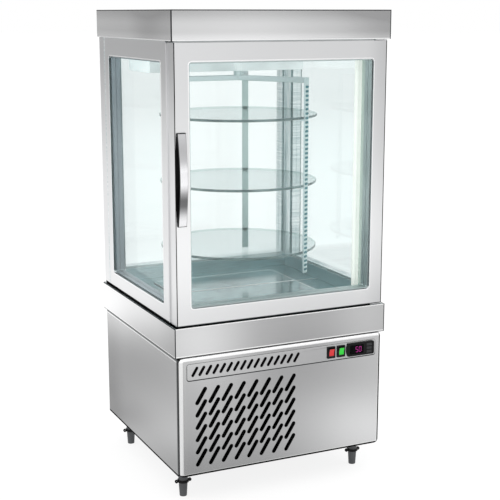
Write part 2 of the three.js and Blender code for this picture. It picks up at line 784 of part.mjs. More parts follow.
// A frame in the plane across one axis, with a rebate for a pane at each face and a stop between the panes.
function glazedFrame(axis, outline, faces, window) {
  const [low, high] = faces;
  const rebate = pane.setback + pane.thickness + fit;
  const slab = prism(outline, axis, faces);
  const { u, v } = window;
  const rebateShape = () => roundedRectangle(u, v, windows.radius);
  const stopRadius = windows.radius - windows.stop;
  const throughShape = roundedRectangle(grown(u, -windows.stop), grown(v, -windows.stop), stopRadius);
  return cut(slab, [
    prism(throughShape, axis, grown(faces, overrun)),
    prism(rebateShape(), axis, [low - overrun, low + rebate]),
    prism(rebateShape(), axis, [high - rebate, high + overrun]),
  ]);
}

// One of a frame's two panes: the one at its low face or at its high face.
function glassPane(axis, faces, window, atHigh) {
  const shape = roundedRectangle(grown(window.u, -fit), grown(window.v, -fit), windows.radius - fit);
  const [low, high] = faces;
  const start = atHigh ? high - pane.setback - pane.thickness : low + pane.setback;
  return prism(shape, axis, [start, start + pane.thickness]);
}

function rectangle([u0, u1], [v0, v1]) {
  const corners = [
    [u0, v0],
    [u1, v0],
    [u1, v1],
    [u0, v1],
  ];
  return new THREE.Shape(corners.map(([u, v]) => new THREE.Vector2(u, v)));
}

const sideWindow = { u: both(rearInner - windows.sideStile), v: [windowBottom, windowTop] };
const wideWindow = { u: both(sideOuter - windows.wideStile), v: [windowBottom, windowTop] };
const frameHeights = [bodyBottom, bodyTop - fit];
const rearFaces = [rearInner, rearOuter];
const doorFaces = [doorFront, doorBack];

function sideFaces(side) {
  return side < 0 ? [-sideOuter, -sideInner] : [sideInner, sideOuter];
}

function makeSideFrame(side) {
  const outline = rectangle([-rearInner, rearInner - fit], frameHeights);
  return glazedFrame("x", outline, sideFaces(side), sideWindow);
}

function makeRearFrame() {
  return glazedFrame("y", rectangle(both(sideOuter), frameHeights), rearFaces, wideWindow);
}

// Door with its gasket, handle and hinge pins

function gasketSpans() {
  const spanX = both(doorHalf - gasket.inset);
  const spanZ = grown([windowBottom, windowTop], gasket.width + gasket.inset);
  return [spanX, spanZ];
}

// A flat ring across Y: the inside is the outside drawn in by the ring's width.
function squareRing(spanX, spanZ, width, spanY) {
  const outer = block(spanX, spanY, spanZ);
  return outer.subtract(block(grown(spanX, -width), grown(spanY, overrun), grown(spanZ, -width)));
}

function recessShape(by) {
  const right = handleLeft + handle.waist - recess.margin + by;
  const left = handleLeft - by;
  const low = handleBottom + handle.foot + recess.margin - by;
  const high = handleBottom + handle.height - handle.foot - recess.margin + by;
  const shape = new THREE.Shape();
  shape.moveTo(right, low);
  shape.lineTo(right, high);
  shape.lineTo(left, high);
  shape.quadraticCurveTo(left - 2 * recess.bulge, (low + high) / 2, left, low);
  shape.closePath();
  return shape;
}

function pinPlace(top, extra) {
  const length = hingePin.length + extra;
  return top ? [doorTop - length, doorTop + overrun] : [doorBottom - overrun, doorBottom + length];
}

function makeDoorFrame() {
  const outline = rectangle(both(doorHalf), [doorBottom, doorTop]);
  const leaf = glazedFrame("y", outline, doorFaces, wideWindow);
  const [spanX, spanZ] = gasketSpans();
  const groove = squareRing(
    grown(spanX, fit),
    grown(spanZ, fit),
    gasket.width + 2 * fit,
    [doorBack - gasket.groove, doorBack + overrun],
  );
  const pocketY = [doorFront - overrun, doorFront + recess.depth];
  const pocket = prism(recessShape(fit), "y", pocketY, roundSides.small);
  const bores = [false, true].map((top) =>
    prism(
      circle(hingeX, hingeY, hingePin.radius + hingePin.running),
      "z",
      pinPlace(top, fit),
      roundSides.medium,
    ),
  );
  return cut(leaf, [groove, pocket, ...bores]);
}

function makeDoorGasket() {
  const [spanX, spanZ] = gasketSpans();
  return squareRing(spanX, spanZ, gasket.width, [doorBack - gasket.groove + fit, -rearInner - fit]);
}

// The bow bar: its foot ends stand on the door and its middle stands away from it.
function makeHandle() {
  const middle = handleLeft + handle.width / 2;
  const steps = roundSides.medium;
  const rings = range(steps + 1).map((i) => {
    const share = i / steps;
    const swell = Math.sin(Math.PI * share);
    const half = (handle.width - (handle.width - handle.waist) * swell) / 2;
    const outer = doorFront - fit - handle.thickness - (handle.reach - fit - handle.thickness) * swell;
    const z = handleBottom + handle.height * share;
    return [
      [middle - half, outer, z],
      [middle + half, outer, z],
      [middle + half, outer + handle.thickness, z],
      [middle - half, outer + handle.thickness, z],
    ];
  });
  const bow = loft(rings);
  const spanX = both(handle.width / 2 - recess.margin).map((x) => x + middle);
  const spanY = [doorFront - fit - handle.thickness, doorFront - fit];
  const ends = [handleBottom, handleBottom + handle.height - handle.foot].map((low) =>
    block(spanX, spanY, [low, low + handle.foot]),
  );
  return join([bow, ...ends]);
}

function makeHandleRecess() {
  const cup = prism(recessShape(0), "y", [doorFront, doorFront + recess.depth - fit], roundSides.small);
  const hollowEnds = [doorFront - overrun, doorFront + recess.depth - fit - recess.wall];
  return cut(cup, [prism(recessShape(-recess.wall), "y", hollowEnds, roundSides.small)]);
}

function makeHingePlate(top) {
  const right = hingeX + hinge.edge;
  const spanX = [right - hinge.plateX, right];
  const spanY = [doorFront + fit, doorFront + fit + hinge.plateY];
  const seat = top ? bodyTop - fit - hinge.plate : bandTop;
  const plate = block(spanX, spanY, [seat, seat + hinge.plate]);
  const pinSpan = top ? [doorTop - hingePin.length, seat] : [seat, doorBottom + hingePin.length];
  const pin = prism(circle(hingeX, hingeY, hingePin.radius), "z", pinSpan, roundSides.medium);
  return plate.add(pin);
}

// Ceiling, cap and the drive of the spider

const capX = both(sideOuter + cap.overhang);
const capY = both(rearOuter + cap.overhang);
const ceilingTop = bodyTop + ceiling.plate;

function makeCeiling() {
  const lower = block(chamberX, chamberY, [ceilingLevel, bodyTop]);
  const upper = block(grown(capX, -sheet - fit), grown(capY, -sheet - fit), [bodyTop, ceilingTop]);
  const hole = circle(0, 0, spider.shaftRadius + fit);
  const bore = prism(hole, "z", [ceilingLevel - overrun, ceilingTop + overrun], roundSides.medium);
  return cut(join([lower, upper]), [bore]);
}

function makeCap() {
  const outer = block(capX, capY, [bodyTop, capTop]);
  const hollow = block(grown(capX, -sheet), grown(capY, -sheet), [bodyTop - overrun, capTop - sheet]);
  return outer.subtract(hollow);
}

function makeGearmotor() {
  const low = ceilingTop + fit;
  const top = low + gearbox.height;
  const half = gearbox.depth / 2;
  const casing = block([-half, gearbox.width - half], both(half), [low, top]);
  const motorX = gearbox.width - half - gearbox.motorRadius - sheet;
  const motorSpan = [top, top + gearbox.motorHeight - fit];
  const motor = prism(circle(motorX, 0, gearbox.motorRadius), "z", motorSpan, roundSides.medium);
  const socket = circle(0, 0, spider.shaftRadius + fit);
  const bore = prism(socket, "z", [low - overrun, low + gearbox.shaftEngage + fit], roundSides.medium);
  return cut(join([casing, motor]), [bore]);
}

// The hanging spider, its legs and the shelves

const armTop = armBottom + spider.armHeight;

function makeSpiderHub() {
  const shaftTop = ceilingTop + fit + gearbox.shaftEngage;
  const shaftShape = circle(0, 0, spider.shaftRadius);
  const shaft = prism(shaftShape, "z", [armBottom, shaftTop], roundSides.medium);
  const hubSpan = [armBottom, armBottom + knob.height];
  const hub = prism(circle(0, 0, knob.radius), "z", hubSpan, roundSides.medium);
  const arms = legAngles.map((angle) => {
    const reach = legRadius - fit;
    const bar = new THREE.BoxGeometry(reach, spider.armWidth, spider.armHeight);
    bar.translate(reach / 2, 0, armBottom + spider.armHeight / 2);
    bar.rotateZ(angle);
    return toSolid(bar);
  });
  return join([shaft, hub, ...arms]);
}

function makeLeg() {
  const bottom = lowestShelf - leg.tail;
  const bar = block([legRadius, legRadius + leg.thickness], both(spider.armWidth / 2), [bottom, armTop]);
  const pegs = shelfMiddles.map((middle) => {
    const seat = middle - shelf.thickness / 2 - fit;
    return block([legRadius - leg.peg, legRadius], both(leg.pegWidth / 2), [seat - leg.pegHeight, seat]);
  });
  return join([bar, ...pegs]);
}

function makeShelf(middle) {
  const span = [middle - shelf.thickness / 2, middle + shelf.thickness / 2];
  return prism(circle(0, 0, shelfRadius), "z", span, roundSides.large);
}

// Lamps at the door side, one at each side frame
function makeLamp(side) {
  const x = side * (sideInner - lamp.wallGap);
  const y = lamp.frontGap - rearInner;
  const tube = circle(x, y, lamp.radius);
  const low = bodyBottom + fit + floorPan.sheet + lamp.bottomGap;
  const span = [low, ceilingLevel - fit];
  const wall = side * (sideInner - fit);
  const channelX = [x, wall].sort((a, b) => a - b);
  const channelY = around(y, lamp.channelHalf);
  return join([prism(tube, "z", span, roundSides.medium), block(channelX, channelY, span)]);
}

// Air cooler that hangs under the ceiling at the back

const coolerBack = rearInner - coolerBox.rearGap;
const coolerFanY = coolerBack - coolerBox.depth / 2;

function makeCoolerBox() {
  const spanX = both(sideInner - coolerBox.sideGap);
  const spanY = [coolerBack - coolerBox.depth, coolerBack];
  const outer = block(spanX, spanY, [coolerBottom, ceilingLevel - fit]);
  const floorTop = coolerBottom + sheet;
  const hollow = block(grown(spanX, -sheet), grown(spanY, -sheet), [floorTop, ceilingLevel + overrun]);
  const hole = circle(0, coolerFanY, coolerFan.hole);
  const opening = prism(hole, "z", [coolerBottom - overrun, floorTop + overrun], roundSides.large);
  const guardX = both(coolerFan.hole + coolerBox.guardBar);
  const guard = block(guardX, around(coolerFanY, coolerBox.guardBar / 2), [coolerBottom, floorTop]);
  const pinTop = floorTop + coolerFan.bottomGap + coolerFan.height / 2;
  const pinShape = circle(0, coolerFanY, coolerFan.pinRadius);
  const pin = prism(pinShape, "z", [coolerBottom, pinTop], roundSides.small);
  return join([cut(outer, [hollow, opening]), guard, pin]);
}

function makeCoolerFan() {
  const wheel = fanWheel(
    coolerFan.radius,
    coolerFan.hub,
    coolerFan.height,
    coolerFan.blades,
    plantFan.bladeThickness,
  );
  const bore = prism(
    circle(0, 0, coolerFan.pinRadius + fit),
    "z",
    [-overrun, coolerFan.height / 2 + fit],
    roundSides.small,
  );
  return wheel.subtract(bore).translate([0, coolerFanY, coolerBottom + sheet + coolerFan.bottomGap]);
}

// The whole cabinet

function buildBase() {
  return [
    ...makeFeet(),
    toMesh("base_floor", makeBaseFloor(), colours.galvanised),
    toMesh("base_side_left", makeBaseSide(-1), colours.steel),
    toMesh("base_side_right", makeBaseSide(1), colours.steel),
    toMesh("base_back", makeBaseBack(), colours.galvanised),
    toMesh("power_inlet", makePowerInlet(), colours.blackPlastic),
    toMesh("front_panel", makeFrontPanel(), colours.steel),
    toMesh("control_strip", makeControlStrip(), colours.steel),
  ];
}

function buildControls() {
  return [
    toMesh("red_switch_housing", makeSwitchHousing(redSwitchX), colours.blackPlastic),
    toMesh("green_switch_housing", makeSwitchHousing(greenSwitchX), colours.blackPlastic),
    toMesh("red_rocker", makeRocker(redSwitchX), colours.redLens),
    toMesh("green_rocker", makeRocker(greenSwitchX), colours.greenLens),
    toMesh("controller_housing", makeControllerHousing(), colours.charcoal),
    toMesh("display_window", makeDisplayWindow(), colours.blackPlastic),
    toMesh("key_down", makeKey(-1), colours.charcoal),
    toMesh("key_set", makeKey(0), colours.charcoal),
    toMesh("key_up", makeKey(1), colours.charcoal),
  ];
}

function buildPlant() {
  return [
    toMesh("compressor", makeCompressor(), colours.blackEnamel),
    toMesh("condenser_coil", makeCondenserCoil(), colours.galvanised),
    toMesh("condenser_shroud", makeShroud(), colours.galvanised),
    toMesh("condenser_fan_motor", makeCondenserMotor(), colours.blackEnamel),
    toMesh("condenser_fan", makeCondenserFan(), colours.galvanised),
  ];
}

function buildGlassBody() {
  const sides = [
    ["left", -1],
    ["right", 1],
  ];
  const walls = sides.flatMap(([name, side]) => {
    const faces = sideFaces(side);
    return [
      toMesh("side_frame_" + name, makeSideFrame(side), colours.satin),
      toMesh("side_glass_outer_" + name, glassPane("x", faces, sideWindow, side > 0), colours.clearGlass),
      toMesh("side_glass_inner_" + name, glassPane("x", faces, sideWindow, side < 0), colours.clearGlass),
      toMesh("lamp_" + name, makeLamp(side), colours.lampDiffuser),
    ];
  });
  return [
    toMesh("band", makeBand(), colours.steel),
    toMesh("cabinet_floor", makeCabinetFloor(), colours.whiteLiner),
    toMesh("floor_tray", makeFloorTray(), colours.steel),
    toMesh("body_seal", makeBodySeal(), colours.blackRubber),
    ...walls,
    toMesh("rear_frame", makeRearFrame(), colours.satin),
    toMesh("rear_glass_outer", glassPane("y", rearFaces, wideWindow, true), colours.clearGlass),
    toMesh("rear_glass_inner", glassPane("y", rearFaces, wideWindow, false), colours.clearGlass),
    toMesh("ceiling_panel", makeCeiling(), colours.whiteLiner),
    toMesh("top_cap", makeCap(), colours.steel),
    toMesh("cooler_box", makeCoolerBox(), colours.satin),
    toMesh("cooler_fan", makeCoolerFan(), colours.blackPlastic),
  ];
}

function buildDoor() {
  return [
    toMesh("door_frame", makeDoorFrame(), colours.satin),
    toMesh("door_glass_outer", glassPane("y", doorFaces, wideWindow, false), colours.clearGlass),
    toMesh("door_glass_inner", glassPane("y", doorFaces, wideWindow, true), colours.clearGlass),
    toMesh("door_gasket", makeDoorGasket(), colours.greyPlastic),
    toMesh("door_handle", makeHandle(), colours.satin),
    toMesh("handle_recess", makeHandleRecess(), colours.blackPlastic),
    toMesh("hinge_bottom", makeHingePlate(false), colours.polished),
    toMesh("hinge_top", makeHingePlate(true), colours.polished),
  ];
}

function buildCarousel() {
  const shelfNames = ["shelf_bottom", "shelf_middle", "shelf_top"];
  const legNames = ["carousel_leg_left", "carousel_leg_front", "carousel_leg_rear"];
  return [
    toMesh("carousel_motor", makeGearmotor(), colours.galvanised),
    toMesh("carousel_hub", makeSpiderHub(), colours.polished),
    ...legAngles.map((angle, i) => toMesh(legNames[i], makeLeg(), colours.polished, angle)),
    ...shelfMiddles.map((middle, i) => toMesh(shelfNames[i], makeShelf(middle), colours.shelfGlass)),
  ];
}

const cabinet = new THREE.Group();
cabinet.position.y = centring;
cabinet.add(...buildBase(), ...buildControls(), ...buildPlant());
cabinet.add(...buildGlassBody(), ...buildDoor(), ...buildCarousel());

export default cabinet;
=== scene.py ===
"""Looks of a revolving glass display cabinet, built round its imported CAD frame.

Lengths are millimetres in the cabinet's own coordinates: x to the right, y to the back, z up from the floor.
"""

import json
import logging
import math
from contextlib import contextmanager
from dataclasses import dataclass, field, replace
from enum import Enum
from functools import lru_cache
from typing import Callable, ClassVar, Iterable, Iterator, Mapping, Sequence, Union

import bmesh
import bpy
from mathutils import Matrix, Vector


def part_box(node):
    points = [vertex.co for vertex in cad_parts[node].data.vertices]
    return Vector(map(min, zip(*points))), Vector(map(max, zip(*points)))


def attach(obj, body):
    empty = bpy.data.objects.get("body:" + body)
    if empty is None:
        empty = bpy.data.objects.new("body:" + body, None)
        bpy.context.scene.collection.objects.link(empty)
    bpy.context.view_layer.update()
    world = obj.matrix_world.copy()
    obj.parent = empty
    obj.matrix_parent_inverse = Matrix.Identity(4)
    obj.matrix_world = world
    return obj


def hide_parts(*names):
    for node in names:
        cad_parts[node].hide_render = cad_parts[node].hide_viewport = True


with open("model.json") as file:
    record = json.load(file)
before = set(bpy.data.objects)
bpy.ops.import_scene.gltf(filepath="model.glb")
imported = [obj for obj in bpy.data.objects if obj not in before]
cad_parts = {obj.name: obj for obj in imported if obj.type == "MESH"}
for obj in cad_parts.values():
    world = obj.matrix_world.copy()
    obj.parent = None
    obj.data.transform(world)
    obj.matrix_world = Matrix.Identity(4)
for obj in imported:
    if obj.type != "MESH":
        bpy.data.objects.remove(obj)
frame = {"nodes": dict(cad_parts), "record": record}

LOG = logging.getLogger("cabinet")
MM = 0.001
SHIFT = 4.75  # the frame's origin lies this far in front of the cabinet's own middle
CABINET = "cabinet"
CORNER_STEPS = 6  # of a round corner
SHARP = 32.0  # degrees; a duller edge is neither rounded nor kept sharp
SHARP_ROUNDED = 50.0  # the same on a piece whose edges are rounded
FLAT = 0.6  # degrees; faces that meet at less count as one
ARRIS = 0.5  # how far a pane's sharp edges are ground off

Point = tuple[float, float, float]
Flat = tuple[float, float]
Colour = tuple[float, float, float]


class Axis(Enum):
    """The direction that an outline is drawn out along, and how its two numbers are laid."""

    X = "x"
    Y = "y"
    Z = "z"

    def lift(self, u: float, v: float, level: float) -> Point:
        """Places an outline's point in space.

        Args:
            u: The outline's first number: y for X, otherwise x.
            v: The outline's second number: y for Z, otherwise z.
            level: The place along this axis.

        Returns:
            The point as x, y, z.
        """
        if self is Axis.X:
            return (level, u, v)
        if self is Axis.Y:
            return (u, level, v)
        return (u, v, level)

    @property
    def number(self) -> int:
        """Gives its place among x, y and z."""
        return list(Axis).index(self)

    @property
    def shift(self) -> float:
        """Tells how far the frame's origin lies from the cabinet's own along it."""
        return SHIFT if self is Axis.Y else 0.0


X, Y, Z = Axis.X, Axis.Y, Axis.Z


# Outlines


def circle(u: float, v: float, radius: float, count: int = 32) -> list[Flat]:
    """Draws a circle.

    Args:
        u: Its middle's first number.
        v: Its middle's second number.
        radius: Its radius.
        count: How many points it gets.

    Returns:
        The points in turn.
    """
    steps = (math.tau * i / count for i in range(count))
    return [(u + radius * math.cos(a), v + radius * math.sin(a)) for a in steps]


def rounded(u0: float, u1: float, v0: float, v1: float, radius: float) -> list[Flat]:
    """Draws a rectangle with round corners.

    Args:
        u0: Its low side.
        u1: Its high side.
        v0: Its bottom.
        v1: Its top.
        radius: The corners' radius.

    Returns:
        The points in turn, anticlockwise.
    """
    points = []
    for u, v, start in ((u1, v1, 0), (u0, v1, 90), (u0, v0, 180), (u1, v0, 270)):
        cu = u - radius if start in (0, 270) else u + radius
        cv = v - radius if start in (0, 90) else v + radius
        for i in range(CORNER_STEPS + 1):
            a = math.radians(start + 90 * i / CORNER_STEPS)
            points.append((cu + radius * math.cos(a), cv + radius * math.sin(a)))
    return points


def stadium(u: float, v: float, length: float, width: float, angle: float, count: int) -> list[Flat]:
    """Draws a slot with round ends.

    Args:
        u: Its middle's first number.
        v: Its middle's second number.
        length: Its whole length.
        width: Its width.
        angle: How far it is turned, in degrees.
        count: How many steps an end gets.

    Returns:
        The points in turn, anticlockwise.
    """
    lean = math.radians(angle)
    reach = (length - width) / 2
    points = []
    for side in (1, -1):
        for i in range(count + 1):
            a = lean + math.radians(-90 + 180 * i / count) + (0 if side > 0 else math.pi)
            points.append((
                u + side * reach * math.cos(lean) + width / 2 * math.cos(a),
                v + side * reach * math.sin(lean) + width / 2 * math.sin(a),
            ))
    return points


# Meshes


@contextmanager
def opened(source: bpy.types.Mesh, target: bpy.types.Mesh | None = None) -> Iterator[bmesh.types.BMesh]:
    """Opens a mesh for work on its faces, and writes the work back when it is done.

    Args:
        source: The mesh.
        target: The mesh that the work is written to, where it isn't the same one.

    Returns:
        The open mesh, for a with statement.
    """
    work = bmesh.new()
    work.from_mesh(source)
    yield work
    work.to_mesh(target or source)
    work.free()


def mended(mesh: bpy.types.Mesh, near: float) -> bpy.types.Mesh:
    """Merges a mesh's doubled points and turns its faces outward.

    Args:
        mesh: The mesh.
        near: How near two points are to count as one, in metres.

    Returns:
        The mesh.
    """
    with opened(mesh) as work:
        bmesh.ops.remove_doubles(work, verts=work.verts, dist=near)
        bmesh.ops.recalc_face_normals(work, faces=work.faces)
    return mesh


class Shape:
    """Points and faces that are gathered into one mesh."""

    def __init__(self) -> None:
        """Starts with nothing in it."""
        self.points: list[Point] = []
        self.faces: list[tuple[int, ...]] = []
        self.marks: list[int] = []

    def skin(self, rings: Sequence[Sequence[Point]], mark: int = 0, loop: bool = False) -> "Shape":
        """Joins rings of equally many points.

        Args:
            rings: The rings in turn.
            mark: The finish of the skin, as its place in the piece's list; the two ends get the first one.
            loop: Whether the last ring joins the first, so that there are no ends.

        Returns:
            This shape.
        """
        start, count, last = len(self.points), len(rings[0]), len(rings)
        for ring in rings:
            self.points.extend(ring)
        for i in range(last if loop else last - 1):
            a, b = start + i * count, start + (i + 1) % last * count
            for j in range(count):
                k = (j + 1) % count
                self.faces.append((a + j, a + k, b + k, b + j))
                self.marks.append(mark)
        if not loop:
            end = start + (last - 1) * count
            self.faces += [tuple(range(start + count - 1, start - 1, -1)), tuple(range(end, end + count))]
            self.marks += [0, 0]
        return self

    def prism(self, outline: Sequence[Flat], axis: Axis, low: float, high: float) -> "Shape":
        """Draws an outline out along an axis.

        Args:
            outline: The outline's points.
            axis: The axis.
            low: Where it starts.
            high: Where it ends.

        Returns:
            This shape.
        """
        return self.skin([[axis.lift(u, v, t) for u, v in outline] for t in (low, high)])

    def block(self, low: Point, high: Point) -> "Shape":
        """Adds a block between two corners, as a prism of its rectangle."""
        outline = [(low[0], low[1]), (high[0], low[1]), (high[0], high[1]), (low[0], high[1])]
        return self.prism(outline, Z, low[2], high[2])

    def hoop(self, outer: Sequence[Flat], inner: Sequence[Flat], axis: Axis, low: float, high: float,
             mark: int = 0) -> "Shape":
        """Adds a flat ring between two outlines of equally many points.

        Args:
            outer: The outer outline.
            inner: The inner outline.
            axis: The ring's axis.
            low: Its lower face.
            high: Its upper face.
            mark: The finish.

        Returns:
            This shape.
        """
        rows = ((outer, low), (outer, high), (inner, high), (inner, low))
        return self.skin([[axis.lift(u, v, t) for u, v in row] for row, t in rows], mark, loop=True)

    def turned(self, profile: Sequence[Flat], axis: Axis, count: int, mark: int = 0) -> "Shape":
        """Adds a form turned about an axis through the origin.

        Args:
            profile: Pairs of radius and place along the axis.
            axis: The axis.
            count: How many sides it gets.
            mark: The finish of its skin.

        Returns:
            This shape.
        """
        rings = [[axis.lift(u, v, t) for u, v in circle(0.0, 0.0, r, count)] for r, t in profile]
        return self.skin(rings, mark)

    def mesh(self, name: str, shift: float = SHIFT) -> bpy.types.Mesh:
        """Makes the mesh, in metres of the frame, with its faces outward.

        Args:
            name: The mesh's name.
            shift: How far the frame's origin lies in front of the shape's own, in y.

        Returns:
            The mesh.
        """
        mesh = bpy.data.meshes.new(name)
        mesh.from_pydata([(x * MM, (y + shift) * MM, z * MM) for x, y, z in self.points], [], self.faces)
        mesh.polygons.foreach_set("material_index", self.marks)
        return mended(mesh, 1e-7)


# Shader and geometry trees


class Value:
    """A number on its way through a tree; sums on it become Math nodes."""

    def __init__(self, graph: "Graph", socket: bpy.types.NodeSocket) -> None:
        """Wraps a socket of a graph."""
        self.graph = graph
        self.socket = socket

    def __add__(self, other: "Number") -> "Value":
        """Adds."""
        return self.graph.math("ADD", self, other)

    __radd__ = __add__

    def __sub__(self, other: "Number") -> "Value":
        """Takes away."""
        return self.graph.math("SUBTRACT", self, other)

    def __rsub__(self, other: "Number") -> "Value":
        """Is taken away from a number."""
        return self.graph.math("SUBTRACT", other, self)

    def __mul__(self, other: "Number") -> "Value":
        """Multiplies."""
        return self.graph.math("MULTIPLY", self, other)

    __rmul__ = __mul__

    def __truediv__(self, other: "Number") -> "Value":
        """Divides."""
        return self.graph.math("DIVIDE", self, other)

    def __mod__(self, other: "Number") -> "Value":
        """Gives what is left after whole steps."""
        return self.graph.math("FLOORED_MODULO", self, other)

    def floor(self) -> "Value":
        """Rounds down."""
        return self.graph.math("FLOOR", self)

    def size(self) -> "Value":
        """Drops the sign."""
        return self.graph.math("ABSOLUTE", self)

    def ramp(self, low: float, high: float, first: float = 0.0, last: float = 1.0) -> "Value":
        """Runs smoothly from one number to another while this value runs from low to high.

        Args:
            low: Where the run starts.
            high: Where it ends.
            first: What it gives at the start.
            last: What it gives at the end.

        Returns:
            The new value.
        """
        node = self.graph.node("ShaderNodeMapRange", {"interpolation_type": "SMOOTHSTEP"}, {
            "Value": self, "From Min": low, "From Max": high, "To Min": first, "To Max": last})
        return Value(self.graph, node.outputs["Result"])


Number = Union[Value, float]


class Graph:
    """One node tree, with a single way to add a node to it."""

    def __init__(self, tree: bpy.types.NodeTree) -> None:
        """Takes the tree, and empties it."""
        self.tree = tree
        tree.nodes.clear()

    def node(self, kind: str, settings: dict | None = None, inputs: dict | None = None) -> bpy.types.Node:
        """Adds a node.

        Args:
            kind: The node's type.
            settings: Its own settings, set first. The key stops gives a colour ramp's stops.
            inputs: Values or links of its sockets, by name or place.

        Returns:
            The node.
        """
        made = self.tree.nodes.new(kind)
        for name, value in (settings or {}).items():
            if name == "stops":
                marks = made.color_ramp.elements
                while len(marks) < len(value):
                    marks.new(0.5)
                for mark, (place, shade) in zip(marks, value):
                    mark.position, mark.color = place, (*shade, 1.0)
            else:
                setattr(made, name, value)
        for key, value in (inputs or {}).items():
            if isinstance(value, Value):
                value = value.socket
            if isinstance(value, bpy.types.NodeSocket):
                self.tree.links.new(value, made.inputs[key])
            else:
                made.inputs[key].default_value = value
        return made

    def math(self, operation: str, *values: Number) -> Value:
        """Adds a Math node.

        Args:
            operation: What it does.
            values: What it does it to.

        Returns:
            Its result.
        """
        return Value(self, self.node("ShaderNodeMath", {"operation": operation}, dict(enumerate(values))).outputs[0])

    def root(self, first: Value, second: Value) -> Value:
        """Gives the length of a line with these two parts."""
        return self.math("SQRT", first * first + second * second)

    def parts(self, vector: bpy.types.NodeSocket) -> tuple[Value, Value, Value]:
        """Splits a vector into its three numbers."""
        outputs = self.node("ShaderNodeSeparateXYZ", inputs={0: vector}).outputs
        return Value(self, outputs[0]), Value(self, outputs[1]), Value(self, outputs[2])

    def vector(self, *parts: Number) -> bpy.types.NodeSocket:
        """Joins three numbers into a vector."""
        return self.node("ShaderNodeCombineXYZ", inputs=dict(enumerate(parts))).outputs[0]

    def place(self, stretch: Point = (1.0, 1.0, 1.0)) -> bpy.types.NodeSocket:
        """Gives the place on the object, stretched for a pattern that runs one way."""
        spot = self.node("ShaderNodeTexCoord").outputs["Object"]
        return self.node("ShaderNodeMapping", inputs={"Vector": spot, "Scale": stretch}).outputs[0]

    def noise(self, where: bpy.types.NodeSocket, scale: float, detail: float = 2.0, rough: float = 0.5) -> Value:
        """Adds a noise.

        Args:
            where: The place that it is read at.
            scale: How fine it is, in waves per metre.
            detail: How many finer layers it has.
            rough: How strong those are.

        Returns:
            The noise, about 0.5.
        """
        inputs = {"Vector": where, "Scale": scale, "Detail": detail, "Roughness": rough}
        return Value(self, self.node("ShaderNodeTexNoise", inputs=inputs).outputs["Fac"])

    def blend(self, share: Number, first: object, second: object) -> bpy.types.NodeSocket:
        """Mixes two colours.

        Args:
            share: How much of the second there is.
            first: The first colour, or its link.
            second: The second colour, or its link.

        Returns:
            The mixed colour.
        """
        ends = [(*c, 1.0) if isinstance(c, tuple) else c for c in (first, second)]
        node = self.node("ShaderNodeMix", {"data_type": "RGBA"}, {0: share, 6: ends[0], 7: ends[1]})
        return node.outputs[2]

    def bump(self, height: Value, strength: float, distance: float) -> bpy.types.NodeSocket:
        """Turns a height into a normal.

        Args:
            height: The height, from 0 to 1.
            strength: How strong it is.
            distance: How high 1 is, in millimetres.

        Returns:
            The normal.
        """
        inputs = {"Height": height, "Strength": strength, "Distance": distance * MM}
        return self.node("ShaderNodeBump", inputs=inputs).outputs[0]

    def solid(self, inputs: dict) -> bpy.types.NodeSocket:
        """Adds the shader of an opaque surface."""
        return self.node("ShaderNodeBsdfPrincipled", inputs=inputs).outputs[0]

    def clear(self, tint: Colour) -> bpy.types.NodeSocket:
        """Adds the shader that lets light through in a tint."""
        return self.node("ShaderNodeBsdfTransparent", inputs={"Color": (*tint, 1.0)}).outputs[0]

    def either(self, share: Number, first: bpy.types.NodeSocket, second: bpy.types.NodeSocket
               ) -> bpy.types.NodeSocket:
        """Mixes two shaders by the share of the second."""
        return self.node("ShaderNodeMixShader", inputs={0: share, 1: first, 2: second}).outputs[0]


# Finishes


@dataclass(frozen=True)
class Finish:
    """A finish of the cabinet: a plain moulded one, and the base of the others."""

    name: str
    slot: str
    colour: Colour
    roughness: float = 0.45
    grain: float = 900.0
    depth: float = 0.05
    shine: float = field(default=0.5, kw_only=True)
    # light: a glow of the finish's own, used only as painted light on the liners, which are no lamp
    light: float = field(default=0.0, kw_only=True)
    CLOUDS: ClassVar[float] = 14.0  # soft clouds, in waves per metre
    UNEVEN: ClassVar[float] = 0.12  # how far the grain changes the roughness

    def surface(self, graph: Graph) -> bpy.types.NodeSocket:
        """Builds the shader.

        Args:
            graph: The material's tree.

        Returns:
            The shader's socket.
        """
        spot = graph.place()
        fine = graph.noise(spot, self.grain, 3.0)
        cloud = graph.noise(spot, self.CLOUDS)
        darker = tuple(0.8 * c for c in self.colour)
        return graph.solid({
            "Base Color": graph.blend(cloud.ramp(0.3, 0.7), darker, self.colour),
            "Roughness": self.roughness - self.UNEVEN / 2 + self.UNEVEN * fine,
            "Normal": graph.bump(fine, 0.3, self.depth),
            "Specular IOR Level": self.shine,
            # the glow: painted light where a finish has one
            "Emission Color": (0.9, 1.0, 1.0, 1.0),
            "Emission Strength": self.light,
        })


@dataclass(frozen=True)
class Shade:
    """A painted lighter or darker run across a sheet: painted light and shade for how its bends and the room light it.
    """

    axis: Axis
    middle: float
    reach: float
    amount: float

    def over(self, place: Sequence[Value]) -> Value:
        """Gives its strength at a place, given as x, y and z."""
        off = (place[self.axis.number] - (self.middle + self.axis.shift) * MM).size()
        return off.ramp(0.0, self.reach * MM, self.amount, 0.0)


